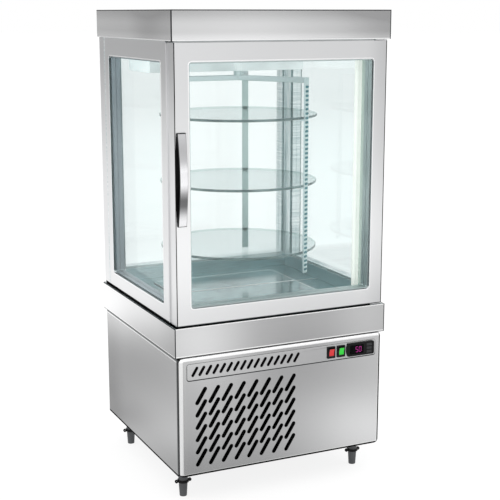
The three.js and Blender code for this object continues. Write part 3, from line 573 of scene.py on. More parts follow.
@dataclass(frozen=True)
class Metal(Finish):
    """Metal sheet or bar with a grain that runs one way, and the soft clouds of handled sheet; its shades paint light
    and shade across it.
    """

    stretch: Point = (30.0, 30.0, 1.0)
    streak: float = 0.1
    cloudiness: float = 0.06
    tone: float = 0.05
    contrast: float = 0.12
    # painted light and shade: soft runs that lighten or darken the colour
    shades: tuple[Shade, ...] = ()
    FINER: ClassVar[float] = 30.0  # how much finer the stretch makes the grain across it

    def surface(self, graph: Graph) -> bpy.types.NodeSocket:
        """Builds the shader, as the base class does.

        Args:
            graph: The material's tree.

        Returns:
            The shader's socket.
        """
        lines = graph.noise(graph.place(self.stretch), self.grain / self.FINER, 4.0, 0.62)
        cloud = graph.noise(graph.place(), 5.0, 3.0)
        level = self.tone * (lines - 0.5) * 2.0 + self.tone * (cloud - 0.5)
        # painted light and shade from the shades
        place = graph.parts(graph.place()) if self.shades else ()
        for shade in self.shades:
            level = level + shade.over(place)
        pale = tuple(min(1.0, c * (1.0 + self.contrast)) for c in self.colour)
        deep = tuple(c * (1.0 - self.contrast) for c in self.colour)
        return graph.solid({
            "Base Color": graph.blend(0.5 + level, deep, pale),
            "Metallic": 1.0,
            "Roughness": self.roughness + self.streak * (lines - 0.5) + self.cloudiness * (cloud - 0.5),
            "Normal": graph.bump(lines, 0.12, self.depth),
        })


@dataclass(frozen=True)
class Spangled(Finish):
    """Zinc-coated sheet with its faint crystals."""

    CRYSTALS: ClassVar[float] = 110.0  # per metre

    def surface(self, graph: Graph) -> bpy.types.NodeSocket:
        """Builds the shader, as the base class does.

        Args:
            graph: The material's tree.

        Returns:
            The shader's socket.
        """
        cells = graph.node("ShaderNodeTexVoronoi", inputs={"Vector": graph.place(), "Scale": self.CRYSTALS})
        tint = Value(graph, graph.node("ShaderNodeSeparateColor", inputs={0: cells.outputs["Color"]}).outputs[0])
        deep = tuple(c * 0.75 for c in self.colour)
        return graph.solid({"Base Color": graph.blend(tint, deep, self.colour), "Metallic": 1.0,
                            "Roughness": self.roughness - 0.08 + 0.16 * tint})


@dataclass(frozen=True)
class Glass(Finish):
    """Clear or tinted glass: what is behind shows through a tint, with a gloss that grows at a slant."""

    gloss: float = 0.012
    slant: float = 0.3
    smear: float = 0.012
    streak: float = 0.025
    index: float = 1.45

    def surface(self, graph: Graph) -> bpy.types.NodeSocket:
        """Builds the shader, as the base class does.

        Args:
            graph: The material's tree.

        Returns:
            The shader's socket.
        """
        slant = Value(graph, graph.node("ShaderNodeFresnel", inputs={"IOR": self.index}).outputs[0])
        haze = graph.noise(graph.place((1.0, 1.0, 0.35)), 9.0, 4.0).ramp(0.45, 0.75)
        wipe = graph.noise(graph.place((0.5, 0.5, 40.0)), 5.0, 3.0, 0.7).ramp(0.45, 0.8)
        shine = graph.solid({"Base Color": (0.86, 0.95, 0.95, 1.0), "Metallic": 1.0,
                             "Roughness": self.roughness + 0.03 * haze})
        share = self.gloss + self.slant * slant + self.smear * haze + self.streak * wipe
        return graph.either(share, graph.clear(self.colour), shine)


@dataclass(frozen=True)
class GlassEdge(Finish):
    """The ground and polished edge of a pane, where the glass shows its colour."""

    see: float = 0.3

    def surface(self, graph: Graph) -> bpy.types.NodeSocket:
        """Builds the shader, as the base class does.

        Args:
            graph: The material's tree.

        Returns:
            The shader's socket.
        """
        depth = graph.noise(graph.place((1.0, 1.0, 0.3)), 26.0, 3.0)
        pale = tuple(min(1.0, 1.8 * c + 0.05) for c in self.colour)
        body = graph.solid({"Base Color": graph.blend(depth.ramp(0.35, 0.7), self.colour, pale),
                            "Roughness": self.roughness + 0.1 * depth})
        inner = Value(graph, graph.node("ShaderNodeNewGeometry").outputs["Backfacing"])
        share = (1.0 - self.see * depth) * (1.0 - 0.85 * inner)
        return graph.either(share, graph.clear((0.8, 0.88, 0.87)), body)


@dataclass(frozen=True)
class Lit(Finish):
    """A lens, tube or digit with light in it, brightest in its middle."""

    glow: float = 2.0
    middle: Flat = (0.0, 0.0)  # in x and z
    reach: Flat = (30.0, 60.0)
    beat: float = 0.0
    window: Flat | None = None
    EDGE: ClassVar[float] = 0.8  # how softly the lit window ends
    DARK: ClassVar[Colour] = (0.006, 0.006, 0.006)  # round the lit window

    def surface(self, graph: Graph) -> bpy.types.NodeSocket:
        """Builds the shader, as the base class does.

        Args:
            graph: The material's tree.

        Returns:
            The shader's socket.
        """
        x, _, z = graph.parts(graph.place())
        off = (x - self.middle[0] * MM, z - self.middle[1] * MM)
        share = graph.root(*off).ramp(self.reach[0] * MM, self.reach[1] * MM, 1.0, 0.45)
        if self.beat:
            wave = (z % (self.beat * MM)) / (self.beat * MM)
            share = 0.8 + 0.2 * (1.0 - (wave - 0.5).size() * 2.0)
        base: object = (*self.colour, 1.0)
        if self.window:
            wide, tall = (part.size().ramp(half * MM, (half + self.EDGE) * MM, 1.0, 0.0)
                          for part, half in zip(off, self.window))
            share = share * wide * tall
            base = graph.blend(wide * tall, self.DARK, self.colour)
        dim = tuple((0.0 if self.window else 0.35) * c for c in self.colour)
        return graph.solid({
            "Base Color": base,
            "Roughness": 0.22 + 0.1 * graph.noise(graph.place(), self.grain),
            "Emission Color": graph.blend(share, dim, self.colour),
            "Emission Strength": self.glow,
        })


def shaded(name: str, surface: Callable[[Graph], bpy.types.NodeSocket]) -> bpy.types.Material:
    """Makes a material.

    Args:
        name: Its name.
        surface: Builds the shader in its tree.

    Returns:
        The material.
    """
    made = bpy.data.materials.new(name)
    made.use_nodes = True
    graph = Graph(made.node_tree)
    graph.node("ShaderNodeOutputMaterial", inputs={"Surface": surface(graph)})
    return made


@lru_cache(maxsize=None)
def material(finish: Finish) -> bpy.types.Material:
    """Makes a finish's material once."""
    return shaded(finish.name, finish.surface)


UPRIGHT: Point = (30.0, 30.0, 1.0)
LEVEL: Point = (1.0, 1.0, 30.0)
STEEL = Metal("stainless_upright", "stainless_sheet", (0.56, 0.562, 0.566), 0.24, 1800, 0.008, UPRIGHT, 0.08, 0.04,
              0.03)
# Lighter and darker copies of the steel, whose shades paint light and shade across each sheet: painted light and
# shade.
SIDE_STEEL = replace(STEEL, name="stainless_side_painted_light_and_shade", colour=(0.55, 0.552, 0.556), contrast=0.3, shades=(
    Shade(Z, 90.0, 120.0, -0.3), Shade(Y, 250.0, 150.0, -0.3), Shade(Z, 345.0, 80.0, 0.1)))
PANEL_STEEL = replace(STEEL, name="stainless_panel_painted_light_and_shade", contrast=0.3, shades=(
    Shade(X, 260.0, 180.0, 0.16), Shade(X, -10.0, 190.0, -0.28), Shade(X, -235.0, 40.0, -0.1)))
STEEL_LEVEL = replace(STEEL, name="stainless_level", stretch=LEVEL)
BAND_STEEL = replace(STEEL_LEVEL, name="stainless_band_painted_light_and_shade", colour=(0.58, 0.582, 0.586), roughness=0.22, contrast=0.35,
                     shades=(Shade(X, -200.0, 150.0, 0.35), Shade(X, 10.0, 150.0, -0.1), Shade(Y, 249.0, 260.0, 0.2),
                             Shade(Y, -249.0, 120.0, -0.2), Shade(X, 220.0, 120.0, 0.2)))
CAP_STEEL = replace(STEEL_LEVEL, name="stainless_cap_painted_light_and_shade", colour=(0.6, 0.602, 0.606), roughness=0.22, contrast=0.35,
                    shades=(Shade(X, 275.0, 170.0, -0.4), Shade(X, -60.0, 240.0, 0.2), Shade(Z, 1108.0, 34.0, -0.45),
                            Shade(Z, 1046.0, 16.0, 0.3), Shade(Y, -110.0, 150.0, -0.3)))
# Darker than the outer steel: painted shade inside the glass body.
STEEL_FLOOR = Metal("stainless_floor", "stainless_sheet", (0.24, 0.32, 0.33), 0.16, 700, 0.02, (2.0, 30.0, 30.0),
                    tone=1.3, contrast=0.7)
# Painted shade: the dark lines at corners, gaps, folds and slot rims.
PAINTED_SHADE_LINE = Metal("dark_edge", "stainless_sheet", (0.03, 0.032, 0.034), 0.45, 600, 0.01, UPRIGHT)
SHADED_EDGE = Metal("shaded_edge", "stainless_sheet", (0.17, 0.18, 0.185), 0.4, 600, 0.01, UPRIGHT)
# Painted highlight: the bright lines along rounded edges and folds.
PAINTED_HIGHLIGHT = Metal("bright_hem", "stainless_sheet", (0.93, 0.935, 0.94), 0.3, 900, 0.006, LEVEL, 0.04)
# The frames' shades paint them darker at the top and bottom, and the door's paint light and shade across it: painted
# light and shade.
SATIN = Metal("satin_aluminium", "satin_aluminium", (0.76, 0.765, 0.775), 0.3, 2000, 0.006, UPRIGHT, 0.05, 0.04, 0.02,
              0.3, (Shade(Z, 1045.0, 170.0, -0.35), Shade(Z, 430.0, 90.0, -0.08)))
DOOR_SATIN = replace(SATIN, name="satin_door_painted_light_and_shade", shades=(
    Shade(Z, 1045.0, 300.0, -0.18), Shade(Z, 600.0, 220.0, 0.3), Shade(Z, 425.0, 90.0, -0.1),
    Shade(X, 261.0, 60.0, -0.22)))
BEAD = Metal("bright_bead", "satin_aluminium", (0.96, 0.965, 0.97), 0.25, 900, 0.004, UPRIGHT, 0.04)
# Lighter and darker copies of the frames' aluminium for their inner faces, darkest low down: painted light and shade.
INNER = Metal("inner_aluminium", "satin_aluminium", (0.8, 0.96, 0.98), 0.35, 500, 0.01, (7.0, 7.0, 1.0), 0.06,
              tone=0.8, contrast=0.35)
WALL = Metal("low_wall", "satin_aluminium", (0.42, 0.57, 0.59), 0.3, 900, 0.01, LEVEL, 0.06, tone=0.5, contrast=0.4)
STILE = Metal("inner_stile", "satin_aluminium", (0.6, 0.68, 0.66), 0.5, 900, 0.01, UPRIGHT, 0.06)
# Copies of one spacer bar: pale for the right and rear, middle for the door, dark for the left: painted light and
# shade; each groove darker still, painted shade.
PALE_BAR = Metal("pale_spacer_bar", "satin_aluminium", (0.8, 0.96, 0.98), 0.4, 260, 0.01, LEVEL, 0.06, tone=1.2,
                 contrast=0.4)
PALE_GROOVE = replace(PALE_BAR, name="pale_spacer_groove", colour=(0.64, 0.84, 0.87), contrast=0.45)
SPACER = Metal("spacer_bar", "satin_aluminium", (0.5, 0.57, 0.57), 0.45, 1100, 0.012, UPRIGHT, 0.06)
GROOVE = replace(SPACER, name="spacer_groove", colour=(0.36, 0.41, 0.41), roughness=0.5)
SIDE_BAR = replace(SPACER, name="side_spacer_bar", colour=(0.3, 0.345, 0.38))
SIDE_GROOVE = replace(GROOVE, name="side_spacer_groove", colour=(0.2, 0.23, 0.26))
HUB = Metal("hub_steel", "satin_aluminium", (0.62, 0.71, 0.72), 0.34, 1400, 0.01, LEVEL, 0.06)
# Copies of the hub's steel for the legs: darker for the left and rear legs, pale for the front one: painted shade and
# painted light.
LEG = replace(HUB, name="leg_steel", colour=(0.56, 0.66, 0.65), tone=0.2)
PALE_LEG = replace(HUB, name="pale_leg_steel", colour=(0.75, 0.86, 0.88), stretch=UPRIGHT)
# Dark inlays that stand for the front leg's slots: painted shade in the holes.
LEG_SLOT = Metal("leg_slot", "satin_aluminium", (0.1, 0.27, 0.31), 0.4, 600, 0.01, UPRIGHT)
POLISHED = Metal("polished_steel", "polished_steel", (0.72, 0.72, 0.73), 0.16, 1200, 0.01, UPRIGHT, 0.06)
# The handle's shades paint its reflection: dark and bright bands along the bow.
GRIP = Metal("polished_grip", "polished_steel", (0.53, 0.53, 0.54), 0.18, 1200, 0.006, UPRIGHT, 0.05, contrast=0.7,
             shades=(Shade(Z, 701.0, 36.0, -0.55), Shade(Z, 756.0, 38.0, 0.75), Shade(Z, 812.0, 45.0, -0.15),
                     Shade(Z, 656.0, 28.0, 0.35)))
ZINC = Spangled("galvanised_sheet", "galvanised_sheet", (0.2, 0.21, 0.22), 0.42)
# Near black: partly the coil's own dark paint, partly painted shade behind the grille.
FINS = Metal("aluminium_fins", "aluminium_fins", (0.02, 0.02, 0.021), 0.5, 600, 0.02, LEVEL)
ENAMEL = Finish("black_enamel", "black_enamel", (0.012, 0.012, 0.013), 0.3, 300, 0.08, shine=0.2)
CLEAR = Glass("clear_glass", "clear_glass", (0.987, 0.995, 0.9945), 0.005, slant=0.1)
SHELF = Glass("shelf_glass", "shelf_glass", (0.885, 0.9, 0.9), 0.03, gloss=0.03, smear=0.04, slant=0.2)
# A dark and a pale copy of the pane edges, the pale one for the right and rear: painted shade and painted light.
RIM = GlassEdge("pane_edge", "clear_glass", (0.09, 0.17, 0.19), 0.12)
PALE_RIM = replace(RIM, name="pale_pane_edge", colour=(0.34, 0.5, 0.52))
SHELF_RIM = GlassEdge("shelf_edge", "shelf_glass", (0.05, 0.09, 0.088), 0.08, see=0.2)
LENS = Glass("display_lens", "display_lens", (0.10, 0.10, 0.11), 0.05, gloss=0.004, slant=0.12, smear=0.0, streak=0.0)
CHARCOAL = Finish("charcoal_plastic", "charcoal_plastic", (0.075, 0.078, 0.082), 0.5, 700, 0.12, shine=0.3)
BLACK = Finish("black_plastic", "black_plastic", (0.005, 0.005, 0.0055), 0.38, 1500, 0.04, shine=0.15)
GREY = Finish("grey_plastic", "grey_plastic", (0.03, 0.031, 0.033), 0.45, 1500, 0.04, shine=0.2)
# Painted light: the part of the cooler box that glows as if lit.
PAINTED_GLOW_LINER = Finish("lit_liner", "white_liner", (0.95, 0.97, 0.97), 0.4, 500, 0.03, light=0.5)
# Its faint glow is painted light; the liner is no lamp.
LINER = Finish("white_liner", "white_liner", (0.93, 0.955, 0.955), 0.4, 500, 0.03, light=0.17)
GASKET = Finish("grey_gasket", "grey_gasket", (0.5, 0.51, 0.515), 0.6, 500, 0.05)
# Real black rubber on the seal; elsewhere painted shade: bottom edges, ledges, the slots' liners and the mats behind
# them.
RUBBER_AND_PAINTED_SHADE = Finish("black_rubber", "black_rubber", (0.002, 0.002, 0.0022), 0.8, 500, 0.1, shine=0.04)
TUBE = Lit("lamp_diffuser", "lamp_diffuser", (0.88, 0.89, 0.83), 0.3, 200, 0.02, glow=0.42, beat=18.0)
RED = Lit("red_lens", "red_lens", (0.44, 0.01, 0.012), 0.3, 400, 0.02, glow=0.4, middle=(123.4, 320.4),
          reach=(2.0, 14.0), window=(6.0, 8.0))
GREEN = replace(RED, name="green_lens", slot="green_lens", colour=(0.008, 0.42, 0.02), glow=0.42,
                middle=(149.8, 320.4))
DIGIT = Lit("lit_digit", "display_lens", (0.34, 0.01, 0.2), 0.3, 400, 0.02, glow=0.3, middle=(190.0, 320.0))


# Making pieces


def baked(piece: bpy.types.Object) -> bpy.types.Object:
    """Turns a piece's modifiers into its mesh.

    Args:
        piece: The piece.

    Returns:
        The piece.
    """
    found = piece.evaluated_get(bpy.context.evaluated_depsgraph_get())
    mesh = bpy.data.meshes.new_from_object(found)
    piece.modifiers.clear()
    piece.data = mesh
    mesh.name = piece.name
    return piece


def smooth(piece: bpy.types.Object, width: float = 0.0, segments: int = 2) -> bpy.types.Object:
    """Rounds a piece's sharp edges a little, and shades it smoothly between them.

    Args:
        piece: The piece.
        width: How wide the rounding is, or 0 for none.
        segments: How many faces the rounding has.

    Returns:
        The piece.
    """
    if width:
        bevel = piece.modifiers.new("edge", "BEVEL")
        bevel.width, bevel.segments = width * MM, segments
        bevel.limit_method, bevel.angle_limit = "ANGLE", math.radians(SHARP)
        bevel.use_clamp_overlap = False
        baked(piece)
    piece.data.polygons.foreach_set("use_smooth", [True] * len(piece.data.polygons))
    piece.data.set_sharp_from_angle(angle=math.radians(SHARP_ROUNDED if width else SHARP))
    even = piece.modifiers.new("even", "WEIGHTED_NORMAL")
    even.keep_sharp = True
    return baked(piece)


def dress(piece: bpy.types.Object, body: str, finishes: Sequence[Finish], nodes: Iterable[str] = ()
          ) -> bpy.types.Object:
    """Gives a piece its finishes, its body and the nodes that it stands for.

    Args:
        piece: The piece.
        body: The body that it rides on.
        finishes: Its finishes, in the order of its marks.
        nodes: The CAD nodes that it stands for.

    Returns:
        The piece.
    """
    slots = piece.data.materials
    for i, finish in enumerate(finishes):
        if i < len(slots):
            slots[i] = material(finish)
        else:
            slots.append(material(finish))
    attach(piece, body)
    if nodes:
        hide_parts(*nodes)
    LOG.info("%s: %d faces on %s", piece.name, len(piece.data.polygons), body)
    return piece


def piece_from(name: str, mesh: bpy.types.Mesh) -> bpy.types.Object:
    """Makes an object of a mesh and links it to the scene.

    Args:
        name: The object's name.
        mesh: The mesh.

    Returns:
        The object.
    """
    piece = bpy.data.objects.new(name, mesh)
    bpy.context.scene.collection.objects.link(piece)
    return piece


def formed(name: str, shape: Shape, body: str, *finishes: Finish, width: float = 0.0,
           nodes: Iterable[str] = ()) -> bpy.types.Object:
    """Makes a dressed piece of a shape.

    Args:
        name: The piece's name.
        shape: Its shape.
        body: The body that it rides on.
        finishes: Its finishes, in the order of its marks.
        width: How wide its edges are rounded, or 0.
        nodes: The CAD nodes that it stands for.

    Returns:
        The piece.
    """
    return dress(smooth(piece_from(name, shape.mesh(name)), width), body, finishes, nodes)


def body_of(node: str) -> str:
    """Finds the body that a CAD node rides on."""
    bodies = frame["record"]["behaviour"]["bodies"]
    return next(body for body, members in bodies.items() if node in members)


def box_of(node: str) -> tuple[Vector, Vector]:
    """Gives the low and high corner of a CAD node's box, in millimetres of the frame."""
    low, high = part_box(node)
    return low / MM, high / MM


SQUARE: Flat = (0.9, 1.01)  # faces square to an axis
ANY: Flat = (0.0, 1.01)  # faces at any angle to it


@dataclass(frozen=True)
class Stripe:
    """A strip of a piece with a finish of its own, such as a painted highlight line, a painted shade line or an inner
    face.
    """

    axis: Axis
    low: float
    high: float
    finish: Finish
    tilt: Flat = (0.0, 0.9)
    facing: Axis | None = None

    def lay(self, mesh: bpy.types.Mesh, mark: int) -> None:
        """Splits a mesh at the strip's two levels, and marks the faces between them.

        Args:
            mesh: The mesh, in metres of the frame.
            mark: The strip's finish, as its place in the piece's list.
        """
        along = Vector([float(axis is self.axis) for axis in Axis])
        with opened(mesh) as work:
            for level in (self.low, self.high):
                everything = [*work.verts, *work.edges, *work.faces]
                bmesh.ops.bisect_plane(work, geom=everything, dist=1e-6, plane_no=along,
                                       plane_co=along * ((level + self.axis.shift) * MM))
            work.normal_update()
            for face in work.faces:
                spot = face.calc_center_median()[self.axis.number] / MM - self.axis.shift
                slant = abs(face.normal[(self.facing or self.axis).number])
                if self.low < spot < self.high and self.tilt[0] <= slant <= self.tilt[1]:
                    face.material_index = mark


def softened(node: str, finish: Finish, width: float, stripes: Sequence[Stripe] = (), segments: int = 2
             ) -> bpy.types.Object:
    """Makes a piece of a CAD node's form with its edges rounded, as pressed or moulded edges are.

    Args:
        node: The CAD node, which the piece then stands for.
        finish: The finish.
        width: How wide the edges are rounded.
        stripes: Its strips with a finish of their own; a later one covers an earlier one.
        segments: How many faces the rounding has.

    Returns:
        The piece.
    """
    mesh = bpy.data.meshes.new(f"{node}_dressed")
    with opened(frame["nodes"][node].data, mesh) as work:
        bmesh.ops.remove_doubles(work, verts=work.verts, dist=2e-6)
        bmesh.ops.dissolve_degenerate(work, edges=work.edges, dist=1e-6)
        bmesh.ops.dissolve_limit(work, angle_limit=math.radians(FLAT), verts=work.verts, edges=work.edges)
    extra = list(dict.fromkeys(stripe.finish for stripe in stripes))
    for stripe in stripes:
        stripe.lay(mesh, 1 + extra.index(stripe.finish))
    piece = smooth(piece_from(f"{node}_dressed", mesh), width, segments)
    return dress(piece, body_of(node), (finish, *extra), (node,))


def softened_all(*rows: tuple[str, Finish, float]) -> None:
    """Makes the pieces of several CAD nodes, each given with its finish and the width of its edges."""
    for node, finish, width in rows:
        softened(node, finish, width)


def carried(node: str, finish: Finish) -> bpy.types.Object:
    """Keeps a CAD node's own form and gives it a finish.

    Args:
        node: The CAD node.
        finish: The finish.

    Returns:
        The node's object.
    """
    piece = frame["nodes"][node]
    for slot in piece.material_slots:
        slot.material = material(finish)
    LOG.info("%s: carried over", node)
    return piece


Given = Mapping[str, bpy.types.NodeSocket]


def grown_tree(name: str, sockets: Sequence[tuple[str, str]],
               grow: Callable[[Graph, Given], bpy.types.NodeSocket]) -> bpy.types.NodeTree:
    """Makes a geometry tree that ends in one solid mesh with one finish.

    Args:
        name: The tree's name.
        sockets: The names and kinds of its inputs, beside the unit and the finish.
        grow: Builds what lies between the inputs and the solid.

    Returns:
        The tree.
    """
    tree = bpy.data.node_groups.new(name, "GeometryNodeTree")
    graph = Graph(tree)
    for label, kind in (("Unit", "Geometry"), *sockets, ("Finish", "Material")):
        tree.interface.new_socket(label, in_out="INPUT", socket_type=f"NodeSocket{kind}")
    tree.interface.new_socket("Pieces", in_out="OUTPUT", socket_type="NodeSocketGeometry")
    given = graph.node("NodeGroupInput").outputs
    solid = graph.node("GeometryNodeRealizeInstances", inputs={0: grow(graph, given)}).outputs[0]
    done = graph.node("GeometryNodeSetMaterial", inputs={"Geometry": solid, "Material": given["Finish"]}).outputs[0]
    graph.node("NodeGroupOutput", inputs={0: done})
    return tree


def grown(piece: bpy.types.Object, tree: bpy.types.NodeTree, values: dict[str, object]) -> bpy.types.Object:
    """Runs a geometry tree on a piece and keeps what it makes as the piece's mesh.

    Args:
        piece: The piece, which is the tree's unit.
        tree: The tree.
        values: What its named inputs get.

    Returns:
        The piece.
    """
    run = piece.modifiers.new(tree.name, "NODES")
    run.node_group = tree
    for item in tree.interface.items_tree:
        if item.in_out == "INPUT" and item.name in values:
            run[item.identifier] = values[item.name]
    return baked(piece)


@lru_cache(maxsize=None)
def pattern_tree() -> bpy.types.NodeTree:
    """Builds the tree that repeats a unit in rows and columns.

    Returns:
        The tree.
    """
    def grow(graph: Graph, given: Given) -> bpy.types.NodeSocket:
        """Sets a copy of the unit at each place.

        Args:
            graph: The tree's graph.
            given: The tree's inputs.

        Returns:
            The copies.
        """
        number = Value(graph, graph.node("GeometryNodeInputIndex").outputs[0])
        columns, rows = Value(graph, given["Columns"]), Value(graph, given["Rows"])
        steps = [
            graph.node("ShaderNodeVectorMath", {"operation": "SCALE"}, {0: given[name], "Scale": by}).outputs[0]
            for name, by in (("Column Step", number % columns), ("Row Step", (number / columns).floor()))]
        moved = graph.node("ShaderNodeVectorMath", {"operation": "ADD"}, dict(enumerate(steps))).outputs[0]
        spot = graph.node("ShaderNodeVectorMath", {"operation": "ADD"}, {0: given["Origin"], 1: moved}).outputs[0]
        points = graph.node("GeometryNodePoints", inputs={"Count": columns * rows, "Position": spot}).outputs[0]
        inputs = {"Points": points, "Instance": given["Unit"]}
        return graph.node("GeometryNodeInstanceOnPoints", inputs=inputs).outputs[0]

    return grown_tree("repeat_unit", (("Columns", "Int"), ("Rows", "Int"), ("Origin", "Vector"),
                                      ("Column Step", "Vector"), ("Row Step", "Vector")), grow)


@dataclass(frozen=True)
class Pattern:
    """A unit repeated in rows and columns."""

    columns: int
    rows: int
    origin: Point
    column_step: Point = (0.0, 0.0, 0.0)
    row_step: Point = (0.0, 0.0, 0.0)

    def make(self, name: str, unit: Shape, body: str, finish: Finish) -> bpy.types.Object:
        """Makes the repeated units as one piece.

        Args:
            name: The piece's name.
            unit: The unit, drawn about the origin.
            body: The body that it rides on.
            finish: Its finish.

        Returns:
            The piece.
        """
        x, y, z = self.origin
        piece = grown(piece_from(name, unit.mesh(name, 0.0)), pattern_tree(), {
            "Columns": self.columns, "Rows": self.rows, "Origin": (x * MM, (y + SHIFT) * MM, z * MM),
            "Column Step": tuple(s * MM for s in self.column_step),
            "Row Step": tuple(s * MM for s in self.row_step), "Finish": material(finish)})
        return dress(smooth(piece), body, (finish,))


@lru_cache(maxsize=None)
def trim_tree() -> bpy.types.NodeTree:
    """Builds the tree that runs a trim round a rectangle with round corners.

    Returns:
        The tree.
    """
    def grow(graph: Graph, given: Given) -> bpy.types.NodeSocket:
        """Sweeps the trim's section round the rectangle.

        Args:
            graph: The tree's graph.
            given: The tree's inputs.

        Returns:
            The trim.
        """
        path, section = (
            graph.node("GeometryNodeCurvePrimitiveQuadrilateral", inputs={
                "Width": given[wide], "Height": given[high]}).outputs[0]
            for wide, high in (("Width", "Height"), ("Breadth", "Depth")))
        bent = graph.node("GeometryNodeFilletCurve", {"mode": "POLY"}, {
            "Curve": path, "Count": CORNER_STEPS, "Radius": given["Corner"]}).outputs[0]
        return graph.node("GeometryNodeCurveToMesh", inputs={"Curve": bent, "Profile Curve": section}).outputs[0]

    names = ("Width", "Height", "Corner", "Breadth", "Depth")
    return grown_tree("trim_round_window", [(name, "Float") for name in names], grow)


@dataclass(frozen=True)
class Trim:
    """A bar of rectangular section round a window with round corners."""

    across: Flat
    up: Flat
    corner: float
    breadth: float
    depth: float
    axis: Axis
    level: float

    def widened(self, out: float, sunk: float) -> "Trim":
        """Gives the same trim let out all round and set deeper.

        Args:
            out: How far it is let out.
            sunk: How much deeper it lies.

        Returns:
            The new trim.
        """
        (left, right), (low, high) = self.across, self.up
        return replace(self, across=(left - out, right + out), up=(low - out, high + out), corner=self.corner + out,
                       level=self.level - sunk)

    def make(self, name: str, body: str, finish: Finish, width: float = 0.0) -> bpy.types.Object:
        """Makes the trim.

        Args:
            name: The piece's name.
            body: The body that it rides on.
            finish: Its finish.
            width: How wide its edges are rounded.

        Returns:
            The piece.
        """
        piece = grown(piece_from(name, bpy.data.meshes.new(name)), trim_tree(), {
            "Width": (self.across[1] - self.across[0]) * MM, "Height": (self.up[1] - self.up[0]) * MM,
            "Corner": self.corner * MM, "Breadth": self.breadth * MM, "Depth": self.depth * MM,
            "Finish": material(finish)})
        place = Vector(self.axis.lift(sum(self.across) / 2, sum(self.up) / 2, self.level)) + Vector((0.0, SHIFT, 0.0))
        quarter = math.pi / 2
        turn = Matrix.Identity(4) if self.axis is Z else Matrix.Rotation(quarter, 4, "X")
        if self.axis is X:
            turn = Matrix.Rotation(quarter, 4, "Z") @ turn
        piece.data.transform(Matrix.Translation(place * MM) @ turn)
        mended(piece.data, 1e-6)
        return dress(smooth(piece, width), body, (finish,))


@dataclass(frozen=True)
class Window:
    """A double-glazed opening: the bar that keeps its panes apart, and the bright bead round its edge."""

    across: Flat
    axis: Axis  # it runs through the panes
    faces: Flat  # the frame's two
    body: str = CABINET
    bars: tuple[Finish, Finish] = (SPACER, GROOVE)
    beading: Flat = (2.4, 0.9)
    up: Flat = (461.0, 1000.0)
    corner: float = 8.0
    ease: float = 0.4  # how much rounder the bar's corners are
    bed: float = 4.7  # a pane with its bed, from the frame's face inward
    run: Flat = (2.4, 4.6)  # how far the bar's two runs reach in from the opening
    groove: Flat = (2.3, 3.8)  # how far the groove between them does
    parting: Flat = (0.9, 0.95)  # half the groove's breadth, bare and with its lap

    def outline(self, by: float) -> list[Flat]:
        """Draws the opening, drawn in by a length."""
        (left, right), (low, high) = self.across, self.up
        return rounded(left + by, right - by, low + by, high - by, self.corner + self.ease - by)

    def spacer(self, name: str) -> None:
        """Makes the bar between the panes: two runs with a groove between them.

        Args:
            name: The piece's name.
        """
        low, high = self.faces[0] + self.bed, self.faces[1] - self.bed
        middle = (low + high) / 2
        half, lap = self.parting
        shape = Shape()
        for ins, start, end, mark in ((self.run, low, middle - half, 0), (self.groove, middle - lap, middle + lap, 1),
                                      (self.run, middle + half, high, 0)):
            shape.hoop(self.outline(ins[0]), self.outline(ins[1]), self.axis, start, end, mark)
        formed(name, shape, self.body, *self.bars)

    def bead(self, name: str, level: float) -> None:
        """Makes the bead round the opening, at a level along its axis."""
        trim = Trim(self.across, self.up, self.corner, *self.beading, self.axis, level)
        trim.make(name, self.body, BEAD, 0.3)


@dataclass(frozen=True)
class Slots:
    """A field of slanted slots in sheet steel, each with a pressed rim in the painted shade finish and a dark liner
    that paints the shade inside the slot.
    """

    first: Point
    columns: int
    rows: int
    pitch: Flat
    slot: Flat
    lip: Flat  # how far the rim reaches out, and how proud it stands
    lean: float = 58.0
    steps: int = 6  # of a slot's round end
    lining: Flat = (0.1, 1.6)  # where a liner starts and ends, behind the sheet's face
    wall: Flat = (0.05, -0.1)  # its outer and inner side, out from the slot's edge

    def outline(self, by: float) -> list[Flat]:
        """Draws one slot about the origin, let out by a length."""
        return stadium(0.0, 0.0, self.slot[0] + 2 * by, self.slot[1] + 2 * by, self.lean, self.steps)

    def repeat(self, name: str, unit: Shape, finish: Finish) -> None:
        """Repeats a unit, drawn about the origin, at every slot.

        Args:
            name: The piece's name.
            unit: The unit.
            finish: Its finish.
        """
        Pattern(self.columns, self.rows, self.first, (self.pitch[0], 0.0, 0.0), (0.0, 0.0, -self.pitch[1])).make(
            name, unit, CABINET, finish)

    def rims(self, name: str) -> None:
        """Makes the pressed rims, which stand a little proud of the sheet, in the painted shade finish.

        Args:
            name: The piece's name.
        """
        out, proud = self.lip
        # how far out from the slot's edge each ring lies, and how far behind the sheet's face
        rows = ((0.1, 0.4), (0.08, -0.5 * proud), (0.35 * out, -proud), (0.7 * out, -0.6 * proud),
                (out, 0.05), (out, 0.4))
        rings = [[(u, depth, v) for u, v in self.outline(by)] for by, depth in rows]
        self.repeat(name, Shape().skin(rings, loop=True), PAINTED_SHADE_LINE)

    def liners(self, name: str) -> None:
        """Makes the dark liners of the slots' cut edges: painted shade inside the slots."""
        outer, inner = (self.outline(by) for by in self.wall)
        self.repeat(name, Shape().hoop(outer, inner, Y, *self.lining), RUBBER_AND_PAINTED_SHADE)


